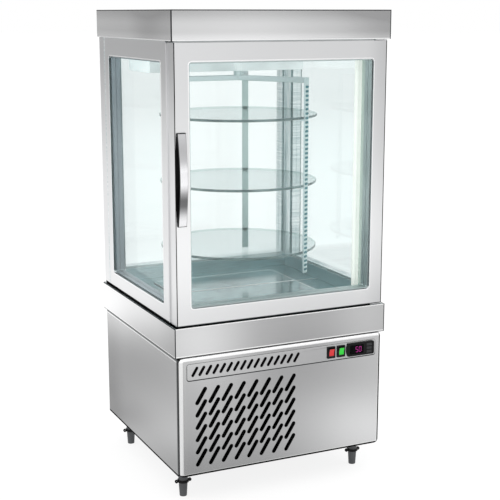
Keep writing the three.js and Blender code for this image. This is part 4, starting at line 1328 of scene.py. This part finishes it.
def pane(node: str, rim: Finish = RIM) -> bpy.types.Object:
    """Makes a glass pane in a CAD node's place, with its ground edge in a finish of its own.

    Args:
        node: The CAD node, a flat plate.
        rim: The edge.

    Returns:
        The piece.
    """
    low, high = box_of(node)
    through = min(range(3), key=lambda i: high[i] - low[i])
    u, v = (i for i in range(3) if i != through)
    rings = []
    for level, by in ((low[through], ARRIS), (low[through] + ARRIS, 0.0), (high[through] - ARRIS, 0.0),
                      (high[through], ARRIS)):
        corners = ((low[u] + by, low[v] + by), (high[u] - by, low[v] + by),
                   (high[u] - by, high[v] - by), (low[u] + by, high[v] - by))
        rings.append([list(Axis)[through].lift(a, b, level) for a, b in corners])
    piece = piece_from(f"{node}_dressed", Shape().skin(rings, 1).mesh(node, 0.0))
    return dress(smooth(piece), body_of(node), (CLEAR, rim), (node,))


# Sub-assemblies


@dataclass
class Feet:
    """Four levelling feet, each with the black lock ring and its two eyes that turn it."""

    places: Flat = (226.6, 182.0)  # to the side and to the front or back
    level: float = 36.5  # the lock ring's middle
    ring: Point = (13.6, 9.6, 2.4)  # its outer and inner radius, and half its height
    eye: Point = (16.4, 4.1, 1.3)  # an eye's way out from the middle, its radius and its hole's
    eye_sides: int = 20
    plate: float = 1.8  # half the eye's thickness

    def build(self) -> None:
        """Makes the feet and their lock rings."""
        outer, inner, half = self.ring
        away, eye, hole = self.eye
        for name in ("front_left", "front_right", "rear_left", "rear_right"):
            softened(f"foot_{name}", CHARCOAL, 0.5)
            x = self.places[0] * (1 if name.endswith("right") else -1)
            y = self.places[1] * (1 if name.startswith("rear") else -1)
            shape = Shape().hoop(circle(x, y, outer), circle(x, y, inner), Z, self.level - half, self.level + half)
            for side in (1, -1):
                rings = (circle(x + side * away, self.level, radius, self.eye_sides) for radius in (eye, hole))
                shape.hoop(*rings, Y, y - self.plate, y + self.plate)
            formed(f"foot_ring_{name}", shape, f"foot_{name}", BLACK)


@dataclass
class BaseHousing:
    """The sheet-steel base with its slotted panel."""

    slots: Slots = Slots((-208.2, -251.5, 261.4), 8, 6, (31.98, 29.23), (45.6, 9.0), (0.4, 0.2))

    def build(self) -> None:
        """Makes the base."""
        # Painted highlight below the band, painted shade under it, along the bottom edge and at the rear and front
        # seams.
        for node in ("base_side_left", "base_side_right"):
            softened(node, SIDE_STEEL, 0.7, (
                Stripe(Z, 340.4, 343.6, PAINTED_HIGHLIGHT), Stripe(Z, 343.6, 354.1, SHADED_EDGE), Stripe(Z, 71.9, 76.8, RUBBER_AND_PAINTED_SHADE),
                Stripe(Y, 249.6, 251.7, SHADED_EDGE), Stripe(Y, -236.0, -233.7, SHADED_EDGE)))
        softened("base_back", STEEL, 0.5)
        # Painted highlight on the rounded front edges, painted shade on the left return, along the bottom and down the
        # right edge.
        softened("front_panel", PANEL_STEEL, 0.45, (
            Stripe(Y, -251.6, -243.0, PAINTED_HIGHLIGHT, (0.3, 0.99)), Stripe(Y, -251.6, -235.4, PAINTED_SHADE_LINE, (0.0, 0.3)),
            Stripe(Z, 71.9, 78.8, RUBBER_AND_PAINTED_SHADE, ANY), Stripe(X, 253.2, 260.1, RUBBER_AND_PAINTED_SHADE, (0.0, 0.88))))
        softened_all(("base_floor", ZINC, 0.5), ("power_inlet", BLACK, 0.3))
        self.slots.rims("grille_rims")
        self.slots.liners("grille_painted_shade")


@dataclass
class Controls:
    """The control strip: slots, two lit rockers and the temperature controller."""

    slots: Slots = Slots((-223.1, -252.0, 320.0), 16, 1, (16.95, 0.0), (24.4, 5.8), (0.8, 0.2))
    strip: tuple[float, float, float, float, float] = (-241.7, 243.0, 300.75, 338.25, 5.0)
    # each in the order that a rounded outline takes: left, right, bottom, top and corner
    gap: tuple[float, float, float, float, float] = (-242.7, 243.6, 298.55, 338.75, 5.9)
    gap_depth: Flat = (-251.75, -251.2)
    # the dark mats behind the slots: painted shade
    mats: tuple[tuple[float, float, float, float], ...] = ((-237.0, 44.0, 304.0, 337.0), (22.0, 44.0, 96.0, 300.0))
    mat_corner: float = 3.0
    mat_depth: Flat = (-248.2, -246.8)
    digit: Flat = (5.6, 12.2)  # its width and height between the bars' middles
    digits: Flat = (190.3, 199.2)  # their middles
    bar: float = 1.1
    bar_steps: int = 3  # of a bar's round end
    short: float = 0.5  # how much shorter a bar is than its side
    glowing: Flat = (-256.52, -256.3)  # a bar's front and back

    def segments(self, x: float, lit: str) -> Shape:
        """Draws a seven-segment figure.

        Args:
            x: Its middle.
            lit: The lit segments, from a to g in the usual order.

        Returns:
            The figure's bars.
        """
        w, h = self.digit
        z = self.slots.first[2]
        level = {"a": h / 2, "g": 0.0, "d": -h / 2}
        upright = {"f": (-w / 2, h / 4), "b": (w / 2, h / 4), "e": (-w / 2, -h / 4), "c": (w / 2, -h / 4)}
        shape = Shape()
        for name in lit:
            if name in level:
                outline = stadium(x, z + level[name], w - self.short, self.bar, 0.0, self.bar_steps)
            else:
                du, dv = upright[name]
                outline = stadium(x + du, z + dv, h / 2 - self.short, self.bar, 90.0, self.bar_steps)
            shape.prism(outline, Y, *self.glowing)
        return shape

    def build(self) -> None:
        """Makes the strip and what sits in it."""
        softened("control_strip", STEEL_LEVEL, 0.4)
        # A dark ring in the gap round the strip: painted shade.
        gap = Shape().hoop(rounded(*self.gap), rounded(*self.strip), Y, *self.gap_depth)
        formed("strip_gap_painted_shade", gap, CABINET, PAINTED_SHADE_LINE)
        self.slots.liners("strip_slot_painted_shade")
        self.slots.rims("strip_slot_rims")
        # Dark mats behind the slots: painted shade.
        mat = Shape()
        for sides in self.mats:
            mat.prism(rounded(*sides, self.mat_corner), Y, *self.mat_depth)
        formed("slot_mat_painted_shade", mat, CABINET, RUBBER_AND_PAINTED_SHADE, width=0.3)
        softened_all(
            ("red_switch_housing", BLACK, 0.4), ("green_switch_housing", BLACK, 0.4), ("red_rocker", RED, 0.6),
            ("green_rocker", GREEN, 0.6), ("controller_housing", BLACK, 0.4), ("display_window", LENS, 0.2),
            ("key_set", GREY, 0.3), ("key_up", GREY, 0.3), ("key_down", GREY, 0.3))
        for name, x, lit in zip(("tens", "units"), self.digits, ("afgcd", "abcdef")):
            formed(f"display_digit_{name}", self.segments(x, lit), CABINET, DIGIT)


@dataclass
class Plant:
    """The cooling plant behind the grille."""

    fins: Flat = (-208.0, 22.0)  # the first and the last
    count: int = 93
    plate: float = 0.4
    proud: float = 0.2  # how far they stand out of the coil
    seated: float = 1.0  # how far they reach into it
    frame: float = 6.0  # how far they end below the coil's top and above its foot

    def build(self) -> None:
        """Makes the plant; the fins stand a little proud of the coil, inside its frame."""
        softened("compressor", ENAMEL, 1.5)
        carried("condenser_coil", FINS)
        softened_all(("condenser_shroud", ZINC, 0.4), ("condenser_fan_motor", ENAMEL, 0.6),
                     ("condenser_fan", ZINC, 0.2))
        low, high = box_of("condenser_coil")
        half = self.plate / 2
        unit = Shape().block((-half, low.y - self.proud, low.z + self.frame),
                             (half, low.y + self.seated, high.z - self.frame))
        step = (self.fins[1] - self.fins[0]) / (self.count - 1)
        Pattern(self.count, 1, (self.fins[0], -SHIFT, 0.0), (step, 0.0, 0.0)).make("coil_fins", unit, CABINET, FINS)


@dataclass
class GlassBody:
    """The fixed frames with their double glazing, the lamps and the pan between them."""

    side: Flat = (-176.0, 176.0)
    side_faces: Flat = (232.0, 264.0)
    rear: Window = Window((-228.0, 228.0), Y, (205.0, 245.0), bars=(PALE_BAR, PALE_GROOVE))
    screws: Pattern = Pattern(2, 5, (-246.0, 245.0, 446.0), (492.0, 0.0, 0.0), (0.0, 0.0, 145.0))
    screw_head: tuple[Flat, ...] = ((3.2, 0.0), (3.2, 0.8), (2.2, 1.6), (0.6, 1.8))
    cover: Trim = Trim((-166.0, 166.0), (-150.0, 155.0), 15.0, 2.2, 0.8, Z, 431.9)  # round the tray
    # The dark line round the tray's trim is painted shade.
    line: Flat = (2.4, 0.96)  # how far the dark line round that trim lies out and down

    def build(self) -> None:
        """Makes the glass body."""
        # Painted highlight and painted shade lines along the band's folds and corners; its top ledge black, painted
        # shade.
        softened("band", BAND_STEEL, 0.7, (
            Stripe(Z, 355.7, 358.3, PAINTED_HIGHLIGHT), Stripe(Z, 353.9, 355.7, PAINTED_SHADE_LINE), Stripe(Z, 419.9, 422.1, PAINTED_HIGHLIGHT),
            Stripe(Z, 420.2, 422.1, RUBBER_AND_PAINTED_SHADE, SQUARE, X), Stripe(X, -268.6, -262.0, RUBBER_AND_PAINTED_SHADE, SQUARE, Z),
            Stripe(X, -268.6, -266.4, PAINTED_SHADE_LINE), Stripe(X, 265.9, 268.6, PAINTED_SHADE_LINE),
            Stripe(Y, -249.6, -248.5, PAINTED_SHADE_LINE)))
        softened_all(("body_seal", RUBBER_AND_PAINTED_SHADE, 0.6), ("cabinet_floor", STEEL_FLOOR, 0.6))
        # A painted shade line and a painted highlight line stand for the tray's groove.
        softened("floor_tray", STEEL_FLOOR, 0.5, (
            Stripe(Y, 15.0, 18.4, PAINTED_SHADE_LINE, ANY), Stripe(Y, 18.4, 21.6, PAINTED_HIGHLIGHT, ANY)))
        self.cover.make("tray_bead", CABINET, BEAD)
        # its dark line: painted shade
        self.cover.widened(*self.line).make("tray_painted_shade_line", CABINET, PAINTED_SHADE_LINE)
        # The left side's pane edges and spacer in the dark copies, painted shade; the right side's in the pale ones,
        # painted light.
        self.flank("left", -1, RIM, (SIDE_BAR, SIDE_GROOVE))
        self.flank("right", 1, PALE_RIM, (PALE_BAR, PALE_GROOVE))
        # Its inner faces in lighter and darker copies of the aluminium: painted light and shade.
        softened("rear_frame", SATIN, 0.5, (
            Stripe(Y, 204.6, 205.6, INNER, SQUARE), Stripe(Z, 427.9, 460.5, WALL, SQUARE, Y),
            Stripe(Y, 204.6, 210.0, PALE_BAR, (0.0, 0.85)), Stripe(Y, 244.4, 245.4, SATIN, SQUARE)))
        self.screws.make("rear_screws", Shape().turned(self.screw_head, Y, 16), CABINET, POLISHED)
        pane("rear_glass_outer", PALE_RIM)
        pane("rear_glass_inner", PALE_RIM)
        self.rear.spacer("rear_spacer")
        self.rear.bead("rear_bead", self.rear.faces[1])

    def flank(self, side: str, way: int, rim: Finish, bars: tuple[Finish, Finish]) -> None:
        """Makes one side of the glass body.

        Args:
            side: Its name.
            way: -1 for the left side, 1 for the right.
            rim: The finish of its panes' edges.
            bars: The finishes of its spacer's runs and groove.
        """
        inner, outer = self.side_faces
        # Painted shade lines at the top, the rear seam and over the seal; the inner faces in lighter and darker copies
        # of the aluminium: painted light and shade.
        softened(f"side_frame_{side}", SATIN, 0.5, (
            Stripe(Z, 1039.8, 1042.3, SHADED_EDGE), Stripe(Y, 203.3, 204.9, SHADED_EDGE),
            Stripe(Z, 427.9, 429.8, RUBBER_AND_PAINTED_SHADE), Stripe(Y, -205.1, -100.0, STILE, SQUARE, X),
            Stripe(Y, -100.0, 205.0, INNER, SQUARE, X), Stripe(Z, 429.8, 460.5, WALL, SQUARE, X),
            Stripe(X, *sorted((way * (inner + 2.0), way * (outer + 0.2))), SATIN, SQUARE),
            Stripe(X, *sorted((way * (inner - 0.1), way * (inner + 5.0))), PALE_BAR, (0.0, 0.85))))
        pane(f"side_glass_outer_{side}", rim)
        pane(f"side_glass_inner_{side}", rim)
        low, high = sorted((way * inner, way * outer))
        window = Window(self.side, X, (low, high), bars=bars)
        window.spacer(f"side_spacer_{side}")
        carried(f"lamp_{side}", TUBE)
        window.bead(f"side_bead_{side}", way * outer)


@dataclass
class Door:
    """The glazed door with its handle, cup and gasket."""

    window: Window = Window((-228.0, 228.0), Y, (-245.0, -207.5), "door", beading=(2.6, 1.0))
    front: float = -244.9
    flange: tuple[Point, Point] = ((-263.9, -207.6, 427.0), (-246.6, -205.3, 1037.6))
    # a grey strip that fills the gap above the door, where shade falls: painted light
    gap_strip: tuple[Point, Point] = ((-259.0, -243.9, 1039.4), (226.0, -240.0, 1041.8))

    def build(self) -> None:
        """Makes the door."""
        # Painted shade lines along the door's bottom and side edges; its shades paint light and shade across the
        # frame.
        softened("door_frame", DOOR_SATIN, 0.6, (
            Stripe(Z, 424.9, 426.6, SHADED_EDGE), Stripe(X, -261.2, -258.9, SATIN, SQUARE),
            Stripe(X, -261.1, -258.9, PAINTED_SHADE_LINE), Stripe(X, 258.5, 261.1, PAINTED_SHADE_LINE),
            Stripe(Y, -245.1, -244.1, PAINTED_SHADE_LINE)), segments=3)
        pane("door_glass_outer")
        pane("door_glass_inner")
        self.window.spacer("door_spacer")
        softened("door_gasket", GASKET, 0.8)
        formed("gasket_flange", Shape().block(*self.flange), "door", SATIN, width=0.3)
        # The grey strip over the gap above the door: painted light where the gap is in shade.
        formed("door_gap_strip", Shape().block(*self.gap_strip), "door", GASKET, width=0.3)
        # Painted shade lines along the handle's edges and ends; its shades paint its reflection.
        softened("door_handle", GRIP, 0.5, (
            Stripe(X, -257.1, -255.2, PAINTED_SHADE_LINE, ANY), Stripe(X, -237.8, -236.5, SHADED_EDGE),
            Stripe(Z, 849.0, 851.2, PAINTED_SHADE_LINE, ANY), Stripe(Z, 647.8, 649.4, PAINTED_SHADE_LINE, ANY)))
        softened("handle_recess", BLACK, 0.4)
        self.window.bead("door_bead", self.front)


@dataclass
class Top:
    """The cap, the ceiling with its cooler, and the gearmotor."""

    def build(self) -> None:
        """Makes the top."""
        # Painted highlight along the cap's lower edge; painted shade lines along its top, its corners and its front
        # edge.
        softened("top_cap", CAP_STEEL, 0.7, (
            Stripe(Z, 1042.4, 1044.9, PAINTED_HIGHLIGHT), Stripe(Z, 1105.3, 1107.6, PAINTED_SHADE_LINE), Stripe(X, -268.1, -265.2, PAINTED_SHADE_LINE),
            Stripe(X, 265.4, 268.1, PAINTED_SHADE_LINE), Stripe(Y, -249.1, -247.9, PAINTED_SHADE_LINE)))
        # The ceiling and the cooler box glow faintly, and part of the box more: painted light.
        softened("ceiling_panel", LINER, 0.6)
        softened("cooler_box", LINER, 1.2, (Stripe(X, -262.0, -40.0, PAINTED_GLOW_LINER, SQUARE),))
        softened_all(("cooler_fan", GREY, 0.2), ("hinge_bottom", POLISHED, 0.3), ("hinge_top", POLISHED, 0.3),
                     ("carousel_motor", ENAMEL, 0.6))


@dataclass
class Carousel:
    """The turning spider with its three glass shelves."""

    radius: float = 189.0
    thickness: float = 6.0
    polish: tuple[Flat, ...] = ((1.4, 0.0), (0.3, 0.6), (0.0, 1.4))  # the edge: in from the rim, and up
    middles: Point = (546.0, 704.5, 863.0)
    sides: int = 144
    slotted: float = -60.0  # where the leg with slots stands, in degrees
    leg: Flat = (190.0, 194.0)  # its inner and outer face
    slots: Pattern = Pattern(1, 43, (0.0, 0.0, 506.0), row_step=(0.0, 0.0, 10.2))
    slot: Flat = (13.4, 5.6)
    inlay: Flat = (0.1, 0.08)  # how far a dark slot lies off the leg's face, and half its thickness

    def build(self) -> None:
        """Makes the carousel."""
        # The shaft in the liner's glowing finish, painted light; rings of the darker leg finish on the knob, painted
        # shade.
        softened("carousel_hub", HUB, 0.5, (
            Stripe(Z, 964.8, 1003.0, LINER), Stripe(Z, 955.4, 957.4, LEG), Stripe(Z, 962.6, 964.7, LEG),
            Stripe(Z, 943.4, 945.2, LEG)))
        # The front leg in the pale copy, painted light; its slots dark inlays, painted shade.
        softened_all(("carousel_leg_left", LEG, 0.4), ("carousel_leg_front", PALE_LEG, 0.4))
        self.slots.make("leg_slots_front", self.leg_slot(), "carousel", LEG_SLOT)
        softened("carousel_leg_rear", LEG, 0.4)
        half = self.thickness / 2
        below = [(self.radius - inward, upward - half) for inward, upward in self.polish]
        for node, z in zip(("shelf_bottom", "shelf_middle", "shelf_top"), self.middles):
            profile = [(r, z + t) for r, t in below] + [(r, z - t) for r, t in reversed(below)]
            shelf = Shape().turned(profile, Z, self.sides, 1)
            formed(f"{node}_dressed", shelf, "carousel", SHELF, SHELF_RIM, nodes=(node,))

    def leg_slot(self) -> Shape:
        """Draws one dark slot of the front leg, painted shade in its hole, on both its faces, turned to the leg's
        place.

        Returns:
            The slot's shape.
        """
        lean = Matrix.Rotation(math.radians(self.slotted), 4, "Z")
        unit = Shape()
        off, half = self.inlay
        for face in (self.leg[0] - off, self.leg[1] + off):
            unit.prism(stadium(0.0, 0.0, *self.slot, 0.0, 5), X, face - half, face + half)
        unit.points = [tuple(lean @ Vector(point)) for point in unit.points]
        return unit


@dataclass
class Studio:
    """The floor, the soft light and the camera at the photograph's place."""

    eye: Point = (-1.1416, -2.48045, 1.1008)
    turn: Point = (78.189, 0.0, -25.264)
    lens: float = 81.716
    # each soft box's name, place, aim, size and power, in metres and watts
    lamps: tuple[tuple[str, Point, Point, float, float], ...] = (
        ("key", (-2.4, -1.6, 2.4), (0.0, 0.0, 0.6), 1.8, 14.0),
        ("fill", (2.6, -1.4, 1.8), (0.0, 0.0, 0.5), 1.6, 12.0),
    )
    sky: float = 0.35
    even: float = 0.8
    # what the metal sees of the floor: each patch's x and y, its reach and how much lighter it is
    patches: tuple[tuple[float, float, float, float], ...] = (
        (430.0, -560.0, 420.0, 0.42), (220.0, -1480.0, 480.0, 0.65), (560.0, -1180.0, 420.0, -0.2),
        (984.0, -1480.0, 360.0, 0.2), (498.0, -943.0, 300.0, -0.2), (727.0, -1050.0, 240.0, 0.12),
        (-130.0, -440.0, 300.0, -0.3),
        (-744.0, 1800.0, 800.0, 0.4), (-540.0, 850.0, 480.0, -0.26), (-380.0, 120.0, 420.0, 0.1),
        (-340.0, 560.0, 300.0, -0.12), (-338.0, -18.0, 220.0, -0.15), (-325.0, 383.0, 180.0, -0.15),
        (-662.0, 1500.0, 420.0, 0.3),
        (1250.0, -1950.0, 560.0, -0.35),
    )
    right: Flat = (0.91, 0.41)  # the way to the right in the photograph, in x and y
    # the light at eye level: from where to where across it changes, and from what to what
    front: tuple[float, float, float, float] = (-0.1, 0.28, 1.35, 0.45)
    back: tuple[float, float, float, float] = (-0.02, 0.16, 0.42, 0.95)
    floor_half: float = 60000.0

    def camera(self) -> None:
        """Sets the camera up."""
        data = bpy.data.cameras.new("camera")
        data.lens, data.sensor_width = self.lens, 36.0
        data.clip_end = 60.0
        camera = bpy.data.objects.new("camera", data)
        camera.location = self.eye
        camera.rotation_euler = [math.radians(a) for a in self.turn]
        bpy.context.scene.collection.objects.link(camera)
        bpy.context.scene.camera = camera

    def horizon(self, x: Value, y: Value) -> tuple[Value, Value, Value]:
        """Grades the light at eye level by the direction that it comes from.

        Args:
            x: The direction's part to the right.
            y: Its part to the back.

        Returns:
            The light in front, the light behind, and how far the direction is the second.
        """
        across = self.right[0] * x + self.right[1] * y
        return across.ramp(*self.front), across.ramp(*self.back), y.ramp(-0.3, 0.3)

    def world(self) -> None:
        """Builds the surrounding light: white to the eye, softly graded in reflections."""
        world = bpy.data.worlds.new("soft_studio")
        world.use_nodes = True
        graph = Graph(world.node_tree)
        x, y, z = graph.parts(graph.node("ShaderNodeTexCoord").outputs["Generated"])
        front, back, behind = self.horizon(x, y)
        rim = front + behind * (back - front)
        level = rim + z.ramp(0.0, 0.5) * (1.05 - rim)
        seen = Value(graph, graph.node("ShaderNodeLightPath").outputs["Is Camera Ray"])
        shade = graph.vector(level, level, level)
        back = graph.node("ShaderNodeBackground", inputs={
            "Color": graph.blend(seen, shade, (1.0, 1.0, 1.0)), "Strength": 1.0})
        graph.node("ShaderNodeOutputWorld", inputs={"Surface": back.outputs[0]})
        bpy.context.scene.world = world

    def lights(self) -> None:
        """Hangs the soft boxes."""
        for name, place, aim, size, power in self.lamps:
            data = bpy.data.lights.new(name, "AREA")
            data.size, data.energy = size, power
            lamp = bpy.data.objects.new(name, data)
            lamp.location = place
            lamp.rotation_euler = (Vector(aim) - Vector(place)).to_track_quat("-Z", "Y").to_euler()
            bpy.context.scene.collection.objects.link(lamp)
        data = bpy.data.lights.new("sky", "SUN")
        data.energy, data.angle = self.sky, math.radians(100.0)
        bpy.context.scene.collection.objects.link(bpy.data.objects.new("sky", data))

    def sheet(self, name: str, low: float, high: float, made: bpy.types.Material) -> bpy.types.Object:
        """Lays a wide flat sheet between two levels.

        Args:
            name: Its name.
            low: Its lower level.
            high: Its upper level.
            made: Its material.

        Returns:
            The sheet.
        """
        half = self.floor_half
        piece = piece_from(name, Shape().block((-half, -half, low), (half, half, high)).mesh(name, 0.0))
        piece.data.materials.append(made)
        return piece

    def ground(self, graph: Graph) -> bpy.types.NodeSocket:
        """Builds the pale floor's shader.

        Args:
            graph: The material's tree.

        Returns:
            The shader's socket.
        """
        matt = graph.node("ShaderNodeBsdfDiffuse", inputs={"Color": (0.95, 0.95, 0.95, 1.0)}).outputs[0]
        light = graph.node("ShaderNodeEmission", inputs={"Strength": 1.05}).outputs[0]
        return graph.either(0.8, matt, light)

    def sheen(self, graph: Graph) -> bpy.types.NodeSocket:
        """Builds the shader of what the metal sees of the floor.

        Args:
            graph: The material's tree.

        Returns:
            The shader's socket.
        """
        x, y, _ = graph.parts(graph.place())
        level: Number = self.even
        for at_x, at_y, reach, amount in self.patches:
            off = graph.root(x - at_x * MM, y - (at_y + SHIFT) * MM)
            level = level + off.ramp(0.0, reach * MM, amount, 0.0)
        away = graph.root(x, y)
        front, _, behind = self.horizon(x / away, y / away)
        ahead = 0.72 + 0.12 * front
        far = ahead + behind * (0.5 - ahead)
        near = level + away.ramp(1.5, 2.4, 0.0, 0.26)
        level = near + away.ramp(4.5, 13.0) * (far - near)
        inputs = {"Color": graph.vector(level, level, level), "Strength": 1.0}
        return graph.node("ShaderNodeEmission", inputs=inputs).outputs[0]

    def floor(self) -> None:
        """Lays the pale floor, and over it the sheet of soft patches that only the metal sees."""
        floor = self.sheet("floor", -40.0, -0.1, shaded("pale_floor", self.ground))
        floor.visible_glossy = False
        sheet = self.sheet("floor_sheen", -0.08, -0.02, shaded("floor_sheen", self.sheen))
        sheet.visible_camera = sheet.visible_diffuse = sheet.visible_shadow = False
        sheet.visible_transmission = sheet.visible_volume_scatter = False

    def build(self) -> None:
        """Makes the studio."""
        self.camera()
        self.world()
        self.lights()
        self.floor()
        scene = bpy.context.scene
        scene.view_settings.view_transform = "Standard"
        scene.cycles.transparent_max_bounces = 40
        scene.cycles.max_bounces = 10
        scene.cycles.sample_clamp_indirect = 4.0


def main() -> None:
    """Builds the sub-assemblies in order."""
    logging.basicConfig(level=logging.INFO, format="%(message)s")
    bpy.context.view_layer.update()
    for part in (Feet(), BaseHousing(), Controls(), Plant(), GlassBody(), Door(), Top(), Carousel(), Studio()):
        LOG.info("%s", type(part).__name__)
        part.build()


if __name__ == "__main__":
    main()
